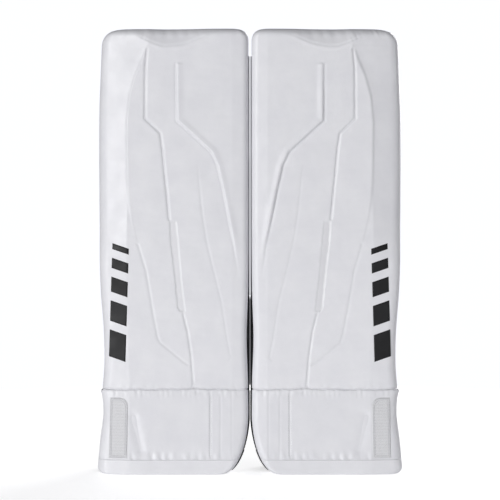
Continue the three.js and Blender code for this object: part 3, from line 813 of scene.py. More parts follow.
def boot_cover(side):
    """The white cover of the boot, between the wear strip and the seam."""
    columns = columns_across(ACROSS, COARSE)
    count = trimmed(int((SEAM_Z - STRIP_TOP) / SPACING) + 2, COARSE)
    levels = np.linspace(STRIP_TOP + CLEAR, SEAM_Z - SEAM_HALF_GAP, count)
    grid = sections(levels, columns)
    plain = sections(levels, columns, relief=False)
    tuck = TUCK * corner(SEAM_Z - levels, 1.0, 4.5) + 0.5 * corner(levels - STRIP_TOP, 1.0, 3.5)
    grid[:, WALL:-WALL, 1] += tuck[:, None]
    lining = (plain - COVER * normals_of(plain))[::COARSE, ::COARSE]
    points, faces = shell(grid, lining, COARSE)
    points[:, 2] = under_seam(points)
    u, z = points[:, 0], points[:, 2]
    # Painted shade: the cover is painted darker along the seam, the wear strip's edge and the upright seams.
    at_seam = 0.3 * bell(z - SEAM_Z, 2.0)
    at_strip = 0.4 * bell(z - STRIP_TOP, 2.6)
    painted_shade = np.maximum(at_seam, at_strip)
    for at, depth in BOOT_SEAMS.items():
        painted_shade = np.maximum(painted_shade, 0.35 * depth * bell(u - at, 1.2))
    marks = {"band": np.zeros(len(points)), "painted_shade": painted_shade}
    points[:, 2] += seam_wave(points)
    piece = put(side, "boot_cover", points, faces, "white_cover", "boot", ["boot_cover"], marks)
    rows = [stitch_line(at, 30, 146) for at in (-67.2, -71.8)]
    put(side, "boot_seam_stitches", *joined(rows), "white_thread", "boot")


def under_seam(points):
    """Heights drawn down towards the back, so that the boot's top edge follows the plane under the seam."""
    drop = SEAM_WEDGE * np.maximum(0, points[:, 1] - FACE_V)
    share = np.clip((points[:, 2] - STRIP_TOP) / (SEAM_Z - STRIP_TOP), 0, 1)
    return points[:, 2] - drop * share


def stitch_line(u, low, high):
    """Stitches up the face at one place across it."""
    z = np.arange(low, high, 2.0)
    u = np.full(z.shape, float(u))
    path = np.column_stack([u, face(u, z), z])
    return stitches(path, (0, -1, 0), radius=0.3)


def wear_strip(side):
    """The strip round the boot's bottom edge, with the floor that it turns under."""
    step, top = 3, STRIP_TOP + 1.6
    rounded_foot = 2 * (1 - np.cos(np.linspace(0, math.pi / 2, 5)))
    levels = np.concatenate([rounded_foot, np.linspace(3.2, top, 15)])[::-1]
    grid = sections(levels, columns_across(60, step))
    underside = 2.0 * corner(levels, 1.0, 2.0)
    grid[:, WALL:-WALL, 1] += underside[:, None]
    lip = 0.35 + 0.3 * bell(levels - top + 1.6, 1.8) - 0.9 * corner(top - levels, 1.0, 1.0)
    lip = lip * smooth(4, 10, levels)
    grid[:, WALL:-WALL, 1] -= lip[:, None]
    grid = capped(grid, 2 * step - (len(levels) - 1) % step, back(0.0) - 0.5)[:, ::-1]
    lining = (grid - 2.2 * normals_of(grid))[::step, ::step]
    points, faces = shell(grid, lining, step)
    put(side, "boot_wear_strip", points, faces, "white_strip", "boot", ["boot_wear_strip"])
    z = np.full(120, STRIP_TOP - 4.0)
    u = np.linspace(inner_edge(z[0]) + 14, outer_edge(z[0]) - 14, len(z))
    path = np.column_stack([u, face(u, z) - 0.1, z])
    put(side, "boot_strip_stitches", *stitches(path, (0, -1, 0), radius=0.3), "white_thread", "boot")


def front_core(side):
    """The front foam core, which follows the cover's inside and fills its top above the rear core."""
    rear_core_top = 770
    low = np.linspace(SEAM_Z + SEAM_HALF_GAP, rear_core_top, 40)
    levels = np.concatenate([low, np.linspace(rear_core_top + 1, HEIGHT - 7, 9)])
    grid = sections(levels, (1, 6, 24), inset=4.4, relief=False)
    rear = np.where(levels <= rear_core_top, back(levels) - 19.2, back(levels) - 2.0)[:, None]
    grid[:, :, 1] = np.minimum(grid[:, :, 1], rear - 0.2)
    grid[:, [0, -1], 1] = rear
    count = grid.shape[1]
    faces = grid_faces(len(levels), count, wrap=True)
    faces += end_faces(len(levels), count)
    put(side, "front_foam_core", grid, faces, "soft_foam", "pad", ["front_foam_core"])


# ------------------------------------------------------------------ what is on the face

BAR = {"low": 204.0, "high": 414.0, "inner": 88.0, "outer": 119.0, "slant": 0.34, "lean": -0.03}
BAR_HEIGHTS = [50.0, 38.0, 28.0, 19.0, 11.0]


def face_patch(corners, proud, sunk=1.0, spacing=1.5):
    """A thin closed patch on the face, between four (u, z) corners given round from its lower inner one."""
    a, b, c, d = (np.array(corner, float) for corner in corners)
    across = max(int(np.linalg.norm(b - a) / spacing), 4)
    up = max(int(np.linalg.norm(d - a) / spacing), 4)
    s, t = np.meshgrid(np.linspace(0, 1, across + 1), np.linspace(0, 1, up + 1))
    flat = (1 - s)[..., None] * ((1 - t)[..., None] * a + t[..., None] * d)
    flat = flat + s[..., None] * ((1 - t)[..., None] * b + t[..., None] * c)
    width, height = np.linalg.norm(b - a), np.linalg.norm(d - a)
    edge = np.minimum(np.minimum(s, 1 - s) * width, np.minimum(t, 1 - t) * height)
    rise = proud * np.sqrt(np.clip(edge / 1.2, 0, 1))
    surface = face(flat[..., 0], flat[..., 1])
    top = np.dstack([flat[..., 0], surface - 0.15 - rise, flat[..., 1]])
    under = np.dstack([flat[..., 0], surface + sunk, flat[..., 1]])
    return shell(top, under, 1)


def side_graphic(side):
    """Five slanted bars, each shorter than the one below it."""
    inner, outer, low = BAR["inner"], BAR["outer"], BAR["low"]
    space = (BAR["high"] - low - sum(BAR_HEIGHTS)) / (len(BAR_HEIGHTS) - 1)
    rise = BAR["slant"] * (outer - inner)
    parts = []
    for height in BAR_HEIGHTS:
        high = low + height
        at_low, at_high = (BAR["lean"] * (z - BAR["low"]) for z in (low, high))
        corners = [
            (inner + at_low, low),
            (outer + at_low, low + rise),
            (outer + at_high, high + rise),
            (inner + at_high, high),
        ]
        parts.append(face_patch(corners, 0.5))
        low = high + space
    put(side, "side_graphic", *joined(parts), "black_print", "pad", ["side_graphic"])


TAG = {"low": 29.0, "high": 138.0, "inner": 83.0, "outer": 117.0, "corner": 15.0}


def tag_outline(inset):
    """The patch's outline, with one rounded corner at its upper inner end."""
    low, high = TAG["low"] + inset, TAG["high"] - inset
    inner, outer, radius = TAG["inner"] + inset, TAG["outer"] - inset, TAG["corner"] - inset * 0.5
    turn = np.linspace(math.pi / 2, math.pi, 10)
    bend = [(inner + radius + radius * math.cos(t), high - radius + radius * math.sin(t)) for t in turn]
    points = [(inner, low), *[(outer, z) for z in np.linspace(low, high, 30)], *bend]
    points += [(inner, z) for z in np.linspace(high - radius, low, 24)[1:-1]]
    bottom = [(u, low) for u in np.linspace(inner, outer, 12)[1:-1]]
    return np.array([points[0], *bottom, *points[1:]], float)


def boot_tag(side):
    """The stitched patch on the boot, and the two rows of thread round its edge."""
    levels = np.linspace(TAG["low"], TAG["high"], 64)
    inner = TAG["inner"] + corner(TAG["high"] - levels, TAG["corner"], TAG["corner"])
    share = np.linspace(0, 1, 25)
    u = inner[:, None] + share * (TAG["outer"] - inner)[:, None]
    z = np.repeat(levels[:, None], len(share), 1)
    from_sides = np.minimum(u - inner[:, None], TAG["outer"] - u)
    edge = np.minimum(from_sides, np.minimum(z - TAG["low"], TAG["high"] - z))
    surface = face(u, z)
    top = np.dstack([u, surface - 0.2 - 0.6 * np.sqrt(np.clip(edge / 1.5, 0, 1)), z])
    under = np.dstack([u, surface + 1.0, z])
    put(side, "boot_tag", *shell(top, under, 1), "grey_patch", "boot", ["boot_tag"])
    border = []
    for inset in (2.0, 4.4):
        u, z = looped(tag_outline(inset)).T
        path = np.column_stack([u, face(u, z) - 0.8, z])
        border.append(stitches(path, (0, -1, 0), 2.6, 2.2, 0.42))
    put(side, "boot_tag_border", *joined(border), "grey_thread", "boot")


# ------------------------------------------------------------------ the seam between the shin and the boot

# The upper half of the fold behind the seam, as (depth behind its front, height over its middle).
FOLD = [(0, 0.3), (0.3, 0.7), (0.7, 0.85), (1.1, 0.7), (1.8, 0.25), (4, 0.5), (6, 0.8), (8, 1.0), (10, 1.2)]


def boot_gusset(side):
    """The fold of cloth behind the seam."""
    u = np.linspace(inner_edge(SEAM_Z) + 2.2, outer_edge(SEAM_Z) - 2.2, 60)
    z = np.full(u.shape, SEAM_Z)
    front = face(u, z, relief=False) + 1.2
    above = [np.column_stack([u, front + depth, z + half]) for depth, half in FOLD]
    below = [np.column_stack([u, front + depth, z - half]) for depth, half in FOLD]
    grid = np.array(below[::-1] + above)
    grid[..., 2] += seam_wave(grid)
    lining = grid + np.array([0, 0.5, 0])
    points, faces = shell(grid, lining, 1)
    piece = put(side, "boot_gusset", points, faces, "white_piping", None)
    bridged(piece, side, (0, FACE_V, SEAM_Z - 3), (0, FACE_V, SEAM_Z + 3))


# ------------------------------------------------------------------ bindings


def binding(side, name, levels, left, body):
    """A leather binding rolled round the back of the inner side wall, gathered a little and stitched.

    left(z) is how far out it reaches.
    """
    turn = np.linspace(0, math.tau, 20, endpoint=False)
    thick = 3.3
    rows = []
    for z in levels:
        low, high = left(z), binding_right(z)
        middle, half = (low + high) / 2, (high - low) / 2
        gather = 1 + 0.05 * math.sin(z / 3.7) + 0.04 * math.sin(z / 2.3 + 1)
        round_u = np.sign(np.cos(turn)) * np.abs(np.cos(turn)) ** 0.7 * half
        round_v = np.sign(np.sin(turn)) * np.abs(np.sin(turn)) ** 0.7 * thick * gather
        v = back(z) + CLEAR + thick + round_v
        rows.append(np.column_stack([middle + round_u, v, np.full(len(turn), z)]))
    faces = grid_faces(len(levels), len(turn), wrap=True) + end_faces(len(levels), len(turn))
    put(side, name, np.array(rows), faces, "black_leather", body, [name])
    path = np.column_stack([binding_right(levels) - 3.0, back(levels) + CLEAR + 6.9, levels])
    put(side, f"{name}_stitches", *stitches(path, (0, 1, 0)), "black_thread", body)


def binding_right(z):
    return inner_edge(z) + 5


def shin_binding_left(z):
    """Further out along the calf, where the covers are drawn in."""
    return -139 - 3.7 * smooth(150, 158, z) * (1 - smooth(318, 336, z))


def boot_binding_left(z):
    return max(inner_edge(z) - 3.4, -142.5)


def bindings(side):
    """The two leather bindings along the inner edge, and the white piping above the calf."""
    z = np.linspace(326, 774, 120)
    rope = np.column_stack([np.full(z.shape, -140.6), back(z) + 0.6, z])
    put(side, "inner_back_piping", *tube(rope, 1.4, 8), "white_piping", "pad")
    binding(side, "inner_edge_binding", np.linspace(155, 770, 260), shin_binding_left, "pad")
    binding(side, "boot_edge_binding", np.linspace(STRIP_TOP + 3, 146, 60), boot_binding_left, "boot")


# ------------------------------------------------------------------ padded panels

PANEL_SPACING = 4.0


def rounded(corners, radius, steps=8):
    """A closed outline with each of its corners rounded."""
    corners = np.asarray(corners, float)
    t = np.linspace(0, 1, steps)[:, None]
    ring = []
    for i, at in enumerate(corners):
        before, after = corners[i - 1] - at, corners[(i + 1) % len(corners)] - at
        start = at + before * min(radius / np.linalg.norm(before), 0.45)
        end = at + after * min(radius / np.linalg.norm(after), 0.45)
        ring.append((1 - t) ** 2 * start + 2 * t * (1 - t) * at + t**2 * end)
    return np.concatenate(ring)


def resampled(line, count):
    """The same line through that many points, evenly spaced along it."""
    run = run_along(line)
    at = np.linspace(0, run[-1], count)
    return np.stack([np.interp(at, run, line[:, k]) for k in range(line.shape[1])], 1)


def filled(outline, splits, spacing):
    """A grid of points that fills a closed outline, which is split into sides at four of its points."""
    sides = []
    for start, end in zip(splits, [*splits[1:], splits[0] + len(outline)]):
        sides.append(outline[np.arange(start, end + 1) % len(outline)])
    lengths = [np.linalg.norm(np.diff(side, axis=0), axis=1).sum() for side in sides]
    cols = max(int(max(lengths[0], lengths[2]) / spacing), 3) + 1
    rows = max(int(max(lengths[1], lengths[3]) / spacing), 3) + 1
    low, right = resampled(sides[0], cols), resampled(sides[1], rows)[:, None]
    high, left = resampled(sides[2], cols)[::-1], resampled(sides[3], rows)[::-1][:, None]
    s = np.linspace(0, 1, cols)[None, :, None]
    t = np.linspace(0, 1, rows)[:, None, None]
    bent = (1 - t) * low + t * high + (1 - s) * left + s * right
    return bent - (1 - t) * ((1 - s) * low[0] + s * low[-1]) - t * ((1 - s) * high[0] + s * high[-1])


def looped(line):
    """A closed outline with its first point again at its end."""
    return np.concatenate([line, line[:1]])


def quarter(share):
    """The rise of a quarter circle, from 0 to 1."""
    return np.sqrt(1 - (1 - np.clip(share, 0, 1)) ** 2)


class Panel:
    """A padded panel in a plane of its own, puffed up between its seams.

    Its points are (a, b, n), where n is how far a point stands off the plane. A flat panel has one padded
    side and lies on the plane, and any other has the plane in its middle. edge is the radius of its rim,
    sink is the share of its thickness that a seam takes away, and reach is how far off a seam is felt.
    """

    def __init__(self, corners, radius, thick, edge, seams=(), sink=0.3, reach=16, flat=False, seed=1):
        self.outline = rounded(corners, radius)
        self.splits = [len(self.outline) // len(corners) * i + 4 for i in fourth_corners(corners)]
        self.thick, self.edge = thick, edge
        self.sink, self.reach = sink, reach
        self.flat, self.seed = flat, seed
        self.seams = [np.asarray(line, float) for line in seams]

    def inset(self, distance, count=None):
        """The outline moved inwards, as a closed line."""
        line = looped(self.outline)
        even = resampled(line, count or int(np.linalg.norm(np.diff(line, axis=0), axis=1).sum() / 4))[:-1]
        along = np.roll(even, -1, 0) - np.roll(even, 1, 0)
        inward = np.stack([-along[:, 1], along[:, 0]], 1) / np.linalg.norm(along, axis=1, keepdims=True)
        middle = even.mean(0)
        if (inward * (middle - even)).sum() < 0:
            inward = -inward
        return looped(even + distance * inward)

    def to_seam(self, points):
        """The distances to the outline and to the nearest seam, the outline counted as one."""
        rim = np.abs(distance_to(looped(self.outline), points[..., 0], points[..., 1])[0])
        seam = rim
        for line in self.seams:
            seam = np.minimum(seam, np.abs(distance_to(line, points[..., 0], points[..., 1])[0]))
        return rim, seam

    def heights(self, points):
        """How far the front stands off the plane at (a, b) points."""
        rim, seam = self.to_seam(points)
        body = self.thick if self.flat else self.thick / 2
        full = body - self.edge * (1 - quarter(rim / self.edge))
        wave = 0.05 * ripple(points[..., 0], points[..., 1], self.seed, 22, 7) * smooth(2, 14, seam)
        return full * (1 - self.sink * (1 - quarter(seam / self.reach)) - np.clip(wave, 0, 0.1))

    def mesh(self):
        """Its points and faces, with the front of the panel first."""
        flat = filled(self.outline, self.splits, PANEL_SPACING)
        height = self.heights(flat)
        front = np.dstack([flat, height])
        rear = np.dstack([flat, 0 * height if self.flat else -height])
        return shell(front, rear, 1)

    def on_top(self, line):
        """A line on the plane, lifted on to the panel's front."""
        line = np.asarray(line, float)
        return np.column_stack([line, self.heights(line)])


def fourth_corners(corners):
    """The four corners that a panel's grid is stretched between: the ones with the sharpest turns."""
    corners = np.asarray(corners, float)
    before = corners - np.roll(corners, 1, 0)
    after = np.roll(corners, -1, 0) - corners
    turn = np.abs(before[:, 0] * after[:, 1] - before[:, 1] * after[:, 0])
    sharpness = turn / np.linalg.norm(before, axis=1) / np.linalg.norm(after, axis=1)
    return sorted(np.argsort(-sharpness, kind="stable")[:4].tolist())


def blown_up(points, faces, held, cap, frames=20):
    """The points of a closed cloth, in millimetres, after air is blown in and the held ones have stayed."""
    scene = bpy.context.scene
    mesh = bpy.data.meshes.new("cloth")
    mesh.from_pydata((points * MM).tolist(), [], faces)
    piece = bpy.data.objects.new("cloth", mesh)
    scene.collection.objects.link(piece)
    piece.vertex_groups.new(name="held").add(np.flatnonzero(held).tolist(), 1.0, "REPLACE")
    blowing = piece.modifiers.new("cloth", "CLOTH")
    blowing.settings.vertex_group_mass = "held"
    blowing.settings.use_pressure = True
    blowing.settings.uniform_pressure_force = 4.0
    blowing.settings.shrink_min = -0.06
    blowing.settings.effector_weights.gravity = 0.0
    blowing.point_cache.frame_end = frames
    for step in range(1, frames + 1):
        scene.frame_set(step)
    done = piece.evaluated_get(bpy.context.evaluated_depsgraph_get()).to_mesh()
    moved = np.empty(3 * len(points), np.float32)
    done.vertices.foreach_get("co", moved)
    bpy.data.objects.remove(piece)
    scene.frame_set(1)
    shift = moved.reshape(-1, 3) / MM - points
    length = np.linalg.norm(shift, axis=1, keepdims=True)
    return points + shift * np.minimum(1, cap / np.maximum(length, 1e-9))


def refined(piece):
    """Subdivides a piece's mesh once."""
    piece.modifiers.new("smooth", "SUBSURF").levels = 1
    fine = bpy.data.meshes.new_from_object(piece.evaluated_get(bpy.context.evaluated_depsgraph_get()))
    piece.modifiers.clear()
    piece.data = fine


BLOWN = {}  # the simulated points of each panel, which both pads use


def put_panel(
    side, name, panel, stand, finish, body, cap=3.0, lines=(), thread="black_thread", piping=None
):
    """Makes a panel and what is sewn to it.

    stand() turns its (a, b, n) points into the pad's own frame, cap is the furthest that the simulation may
    move a point, lines are its rows of stitches, and piping is the finish of the cord round its edge.
    """
    points, faces = panel.mesh()
    if panel.flat:
        if name not in BLOWN:
            _, seam = panel.to_seam(points[:, :2])
            BLOWN[name] = blown_up(points, faces, (points[:, 2] < 0.01) | (seam < 2.4), cap)
        points = BLOWN[name]
    piece = put(side, name, stand(points), faces, finish, body, [name])
    refined(piece)
    out = stand(np.array([[0, 0, 1.0]])) - stand(np.array([[0, 0, 0.0]]))
    sewn = []
    thread_radius, piping_radius, floor = 0.42, 1.7, 1.9
    for line in lines:
        path = panel.on_top(line)
        sewn.append(stitches(stand(path), out[0], radius=thread_radius))
        if not panel.flat:
            path[:, 2] *= -1
            sewn.append(stitches(stand(path), -out[0], radius=thread_radius))
    if sewn:
        put(side, f"{name}_stitches", *joined(sewn), thread, body)
    if piping:
        ring = panel.inset(-0.2)[:-1]
        middle = panel.heights(ring).mean() / 2 if panel.flat else 0.0
        rope = stand(np.column_stack([ring, np.full(len(ring), middle)]))
        rope[:, 2] = np.maximum(rope[:, 2], floor)
        put(side, f"{name}_piping", *tube(rope, piping_radius, 8, closed=True), piping, body)


def standing_at(middle):
    """Stands a panel up along the leg's side, with its plane at one place across."""

    def stand(points):
        return np.stack([middle + points[..., 2], points[..., 0], points[..., 1]], -1)

    return stand


def behind(base):
    """Lays a panel against the pad's back. base(z) is where its plane lies."""

    def stand(points):
        return np.stack([points[..., 0], base(points[..., 1]) + points[..., 2], points[..., 1]], -1)

    return stand


def box(low_a, high_a, low_b, high_b):
    """The corners of a rectangle in a panel's plane."""
    return [(low_a, low_b), (high_a, low_b), (high_a, high_b), (low_a, high_b)]


# ------------------------------------------------------------------ the back of the pad


def corner_piping(side):
    """The black piping that goes on from the boot's binding, round the corner of the wear strip."""
    z = np.linspace(40, 5.5, 26)
    u = inner_edge(z)
    slope = np.gradient(u, z)
    out = np.stack([-np.ones(len(z)), slope], 1) / np.hypot(1, slope)[:, None]
    rope = np.column_stack([u + 1.4 * out[:, 0], back(z) - 1.5, z + 1.4 * out[:, 1]])
    put(side, "boot_corner_piping", *tube(rope, 2.7, 10), "black_leather", "boot")


def back_cover(side):
    """Quilted nylon over the whole back, sewn through in diamonds, with piping along its edges."""
    inset, low, high, pitch = 2.4, SEAM_Z + SEAM_HALF_GAP, HEIGHT - 2.5, 38.0
    rows = int((high - low) / (SPACING * 1.4))
    z = np.linspace(low, high, rows)[:, None]
    cols = int(2 * HALF / (SPACING * 1.4))
    share = np.linspace(0, 1, cols)[None, :]
    u = (inner_edge(z) + inset) * (1 - share) + (outer_edge(z) - inset) * share
    z = np.broadcast_to(z, u.shape)
    one = np.abs((u + z) / pitch % 1 - 0.5) * pitch
    other = np.abs((u - z) / pitch % 1 - 0.5) * pitch
    sewn = np.minimum(0.5 * pitch - one, 0.5 * pitch - other)
    edge = np.minimum(np.minimum(u - u[:, :1], u[:, -1:] - u), np.minimum(z - low, high - z))
    puff = quarter(np.minimum(sewn, edge) / 9.0)
    outer = np.dstack([u, back(z) - 1.1 * (1 - puff), z])[:, ::-1]
    lining = np.dstack([u, back(z) - 1.4, z])[:, ::-1]
    piece = put(side, "back_cover", *shell(outer, lining, 1), "black_nylon", "pad", ["back_cover"])
    inset = 2.8
    up = np.linspace(SEAM_Z + 4, HEIGHT - inset, 400)
    down = np.linspace(HEIGHT - inset, 776, 100)
    outer_side = np.column_stack([outer_edge(up) - inset, up])
    inner_side = np.column_stack([inner_edge(down) + inset, down])
    u, z = resampled(np.concatenate([outer_side, inner_side]), 300).T
    edging = np.column_stack([u, back(z) + 0.2, z])
    put(side, "back_edge_piping", *tube(edging, 1.9, 8), "black_leather", "pad")


def boot_back(side):
    """Nylon over the boot's back, under its liner, with a row of stitches down each side."""
    levels = np.linspace(1.5, SEAM_Z - 6.2, 40)
    z = levels[:, None]
    share = np.linspace(0, 1, 60)[None, :]
    u = (inner_edge(z) + 1.6) * (1 - share) + (outer_edge(z) - 1.6) * share
    z = np.broadcast_to(z, u.shape)
    outer = np.dstack([u, back(z) + 0.35 * quarter((1 - np.abs(2 * share - 1)) * 40), z])[:, ::-1]
    lining = np.dstack([u, back(z) - 0.3, z])[:, ::-1]
    piece = put(side, "boot_back", *shell(outer, lining, 1), "black_nylon", "boot")
    z = np.linspace(8, 136, 32)
    rows = []
    for u in (inner_edge(z) + 9, outer_edge(z) - 9):
        rows.append(stitches(np.column_stack([u, back(z) + 0.5, z]), (0, 1, 0)))
    put(side, "boot_back_stitches", *joined(rows), "black_thread", "boot")


def side_gussets(side):
    """Thin leather inside the covers at the seam's two ends, where the wedge between them opens."""
    low, high = SEAM_Z - 20.0, SEAM_Z + 10.0
    z = np.linspace(low, high, 14)[:, None]
    share = np.linspace(0, 1, 14)[None, :]
    for name, edge, inward in (("inner", inner_edge, 1), ("outer", outer_edge, -1)):
        line = edge(z) + inward * 2.05
        front = face(edge(z) + inward * 24.0, z, relief=False) + 14.0
        v = front * (1 - share) + back(z) * share
        outer = np.dstack([line + 0 * v, v, z + 0 * v])
        lining = outer + np.array([inward * 0.3, 0, 0])
        piece = put(side, f"{name}_side_gusset", *shell(outer, lining, 1), "white_piping", None)
        bridged(piece, side, (0, 0, SEAM_Z - 8), (0, 0, SEAM_Z + 3))


def heel_fold(side):
    """The strip of nylon behind the seam, sewn to the shin above it and to the boot below it."""
    low, high = SEAM_Z - 16.0, SEAM_Z + 10.0
    z = np.linspace(low, high, 16)[:, None]
    share = np.linspace(0, 1, 70)[None, :]
    u = (inner_edge(SEAM_Z) - 2.6) * (1 - share) + (outer_edge(SEAM_Z) - 2.2) * share + 0 * z
    z = z + 0 * u
    gathers = 0.25 * np.sin(u / 3.3) * smooth(0, 5, z - low)
    bulge = 1.2 * np.sin(math.pi * (z - low) / (high - low)) + gathers
    surface = 0.45 * back(z) + 0.9 + bulge * smooth(0, 4, high - z)
    outer = np.dstack([u, surface, z])[:, ::-1]
    lining = outer - np.array([0, 0.8, 0])
    piece = put(side, "heel_fold", *shell(outer, lining, 1), "black_nylon", None)
    bridged(piece, side, (0, 0, low + 4), (0, 0, high - 3))


def liner(side, name, panel, plane, finish, body, cap, count):
    """Puts on a cushion, with stitches of that many points along its seams and with black piping."""
    stitched = [resampled(line, count) for line in panel.seams]
    put_panel(side, name, panel, behind(plane), finish, body, cap, stitched, piping="black_leather")


def liners(side):
    """The cushions that the leg lies against."""
    inner, outer = -78.0, 92.0  # the sides of the channel that the leg lies in
    low, high = 170.0, 436.0
    seams = [[(u, low + 12), (u, high - 12)] for u in (-34, 7, 48)]
    shin = Panel(box(inner, outer, low, high), 16, 10.6, 3, seams, 0.4, 17, True, 31)
    liner(side, "shin_liner", shin, rest_plane, "liner_mesh", "pad", 3, 60)

    low, high = 440.0, 600.0
    middle = (low + high) / 2
    seams = [
        [(inner + 14, low + 16), (7, middle - 8), (outer - 14, low + 16)],
        [(inner + 14, high - 16), (7, middle + 30), (outer - 14, high - 16)],
    ]
    knee = Panel(box(inner, outer, low, high), 18, 17.6, 5, seams, 0.38, 20, True, 32)
    liner(side, "knee_cradle", knee, rest_plane, "liner_mesh", "pad", 4, 60)

    low, high, reach = 612.0, 788.0, 104.0
    seams = [[(-reach + 10, z), (reach - 10, z)] for z in (low + 48, low + 92, low + 134)]
    thigh = Panel(box(-reach, reach, low, high), 18, 8.6, 3, seams, 0.42, 18, True, 33)
    liner(side, "thigh_liner", thigh, back_plane, "black_nylon", "pad", 3, 70)

    low, high = 12.0, 138.0
    seams = [[(u, low + 10), (u, high - 10)] for u in (-26, 30)]
    boot = Panel(box(-80.0, 84.0, low, high), 14, 6.6, 2.5, seams, 0.4, 14, True, 34)
    liner(side, "boot_liner", boot, back_plane, "liner_mesh", "boot", 2.5, 40)


def rest_plane(z):
    """Level behind the core, for the cushions of the calf and the knee."""
    return CLEAR + 0 * z


def back_plane(z):
    """Against the core's back, which leans at the thigh and at the boot."""
    return back(z) + CLEAR


def knee_stack(side):
    """Three blocks side by side, which carry the knee on the ice."""
    corners = [(0.4, 443), (92, 443), (100, 473), (100, 592), (0.4, 592)]
    looks = {
        "knee_stack_ice_block": ("black_leather", "white_piping"),
        "knee_stack_middle_block": ("firm_foam", None),
        "knee_stack_inner_block": ("black_nylon", "black_leather"),
    }
    thick, pitch, first = 16.6, 17.0, -134.0
    for number, (name, (finish, piping)) in enumerate(looks.items()):
        block = Panel(corners, 12, thick, 3, (), 0.07, 26, seed=41 + number)
        stand = standing_at(first + pitch * number + thick / 2)
        sewn = [] if finish == "firm_foam" else [block.inset(7)]
        put_panel(side, name, block, stand, finish, "pad", lines=sewn, piping=piping)


CALF_OUTLINE = [(3, 185), (88, 175), (112, 209), (112, 430), (3, 430)]
KNEE_OUTLINE = [(3, 447), (100, 457), (100, 566), (74, 592), (3, 592)]
BOOT_OUTLINE = [(-41, 0), (50, 0), (64, 44), (64, 136), (-1.9, 136)]
WINGS = {
    # name: the places across that it lies between, its corners as (v, z), its rim's radius, and its body
    "inner_calf_wing": (-105, -83, CALF_OUTLINE, 6, "inner_calf_flap"),
    "outer_calf_wing": (97, 111, CALF_OUTLINE, 5, "outer_calf_flap"),
    "outer_knee_wing": (97, 111, KNEE_OUTLINE, 5, "outer_knee_flap"),
    "inner_boot_wing": (-102, -86, BOOT_OUTLINE, 4, "inner_boot_flap"),
    "outer_boot_wing": (91, 105, BOOT_OUTLINE, 4, "outer_boot_flap"),
}


def wings(side):
    """The padded flaps that stand up beside the leg."""
    for number, (name, (low, high, corners, edge, body)) in enumerate(WINGS.items()):
        white = name.startswith("outer")
        boot = "boot" in name
        wing = Panel(corners, 10 if boot else 12, high - low, edge, (), 0.3, 18, seed=51 + number)
        line = wing.inset(8)
        top, bottom = corners[3][1] - 14, corners[2][1] + 4
        ribs = [np.array([(v, bottom), (v, top)], float) for v in ((24,) if boot else (38, 74))]
        wing.seams = [line, *ribs]
        sewn = [line, *[resampled(rib, 50) for rib in ribs]]
        finish, thread = ("white_cover", "white_thread") if white else ("black_nylon", "black_thread")
        piping = "white_piping" if white else "black_leather"
        stand = standing_at((low + high) / 2)
        put_panel(side, name, wing, stand, finish, body, 0, sewn, thread, piping)


# ------------------------------------------------------------------ straps

STRAP_THICK = 3.4
CALF_FLAPS = "outer_calf_flap", "inner_calf_flap"
BOOT_FLAPS = "outer_boot_flap", "inner_boot_flap"
STRAPS = {
    # name: its pivot and its far end as (u, v), how long it lies flat at that end, how far it bulges behind
    # the leg, its width, the height of its middle, and the bodies of its band, its anchor and its landing
    "knee_strap": ((104, 103.8), (-130, 103.8), 50, 40, 66, 517, ("knee_band", "outer_knee_flap", "pad")),
    "upper_calf_strap": ((104, 115.8), (-104, 115.8), 24, 42, 50, 380, ("upper_calf_band", *CALF_FLAPS)),
    "lower_calf_strap": ((104, 115.8), (-104, 115.8), 24, 36, 50, 245, ("lower_calf_band", *CALF_FLAPS)),
    "boot_strap": ((98, 67.8), (-94, 67.8), 20, 30, 38, 111, ("boot_band", *BOOT_FLAPS)),
}


def strap_route(start, end, landing, bulge, count=60):
    """A strap's middle line: out of its pivot, round behind the leg, and flat along its landing."""
    (u0, v0), (u1, v1) = start, end
    out = 1.25 * bulge
    knots = [(u0, v0), (u0 - 6, v0 + out), (u1 + (u0 - u1) / 4, v1 + out), (u1 + landing, v1)]
    t = np.linspace(0, 1, count)[:, None]
    weights = [(1 - t) ** 3, 3 * t * (1 - t) ** 2, 3 * t**2 * (1 - t), t**3]
    curve = sum(weight * np.array(knot, float) for weight, knot in zip(weights, knots))
    flat = np.linspace((u1 + landing, v1), end, max(int(landing / 4), 3))[1:]
    return np.concatenate([curve, flat])


def ribbon(route, height, width, thick, tip=0.0):
    """A flat band along a route of (u, v) points, with rounded edges.

    tip is how far its free end is rounded, where it has one.
    """
    route = np.asarray(route, float)
    out = outward(route)
    run = run_along(route)
    half = np.full(len(route), width / 2)
    if tip:
        half -= corner(run[-1] - run, tip, tip)
    bead = thick / 2
    turn = np.linspace(-math.pi / 2, math.pi / 2, 5)
    share = np.linspace(-1, 1, 11)
    rows = []
    for (u, v), (du, dv), reach in zip(route, out, half):
        flat = share * (reach - bead)
        bend = [(reach - bead + bead * math.cos(t), -bead * math.sin(t)) for t in turn[1:-1]]
        upper = [(x, bead) for x in flat] + bend
        lower = [(-x, -y) for x, y in upper]
        rows.append([(u + du * y, v + dv * y, height + x) for x, y in upper + lower])
    grid = np.array(rows)
    count = grid.shape[1]
    faces = grid_faces(len(grid), count, wrap=True) + end_faces(len(grid), count)
    return grid.reshape(-1, 3), faces


def outward(route):
    """The directions to a route's outer side."""
    along = np.gradient(route, axis=0)
    along /= np.linalg.norm(along, axis=1, keepdims=True)
    return np.stack([along[:, 1], -along[:, 0]], 1)


def offset_route(route, distance):
    """A route moved to its outer side."""
    return route + distance * outward(route)


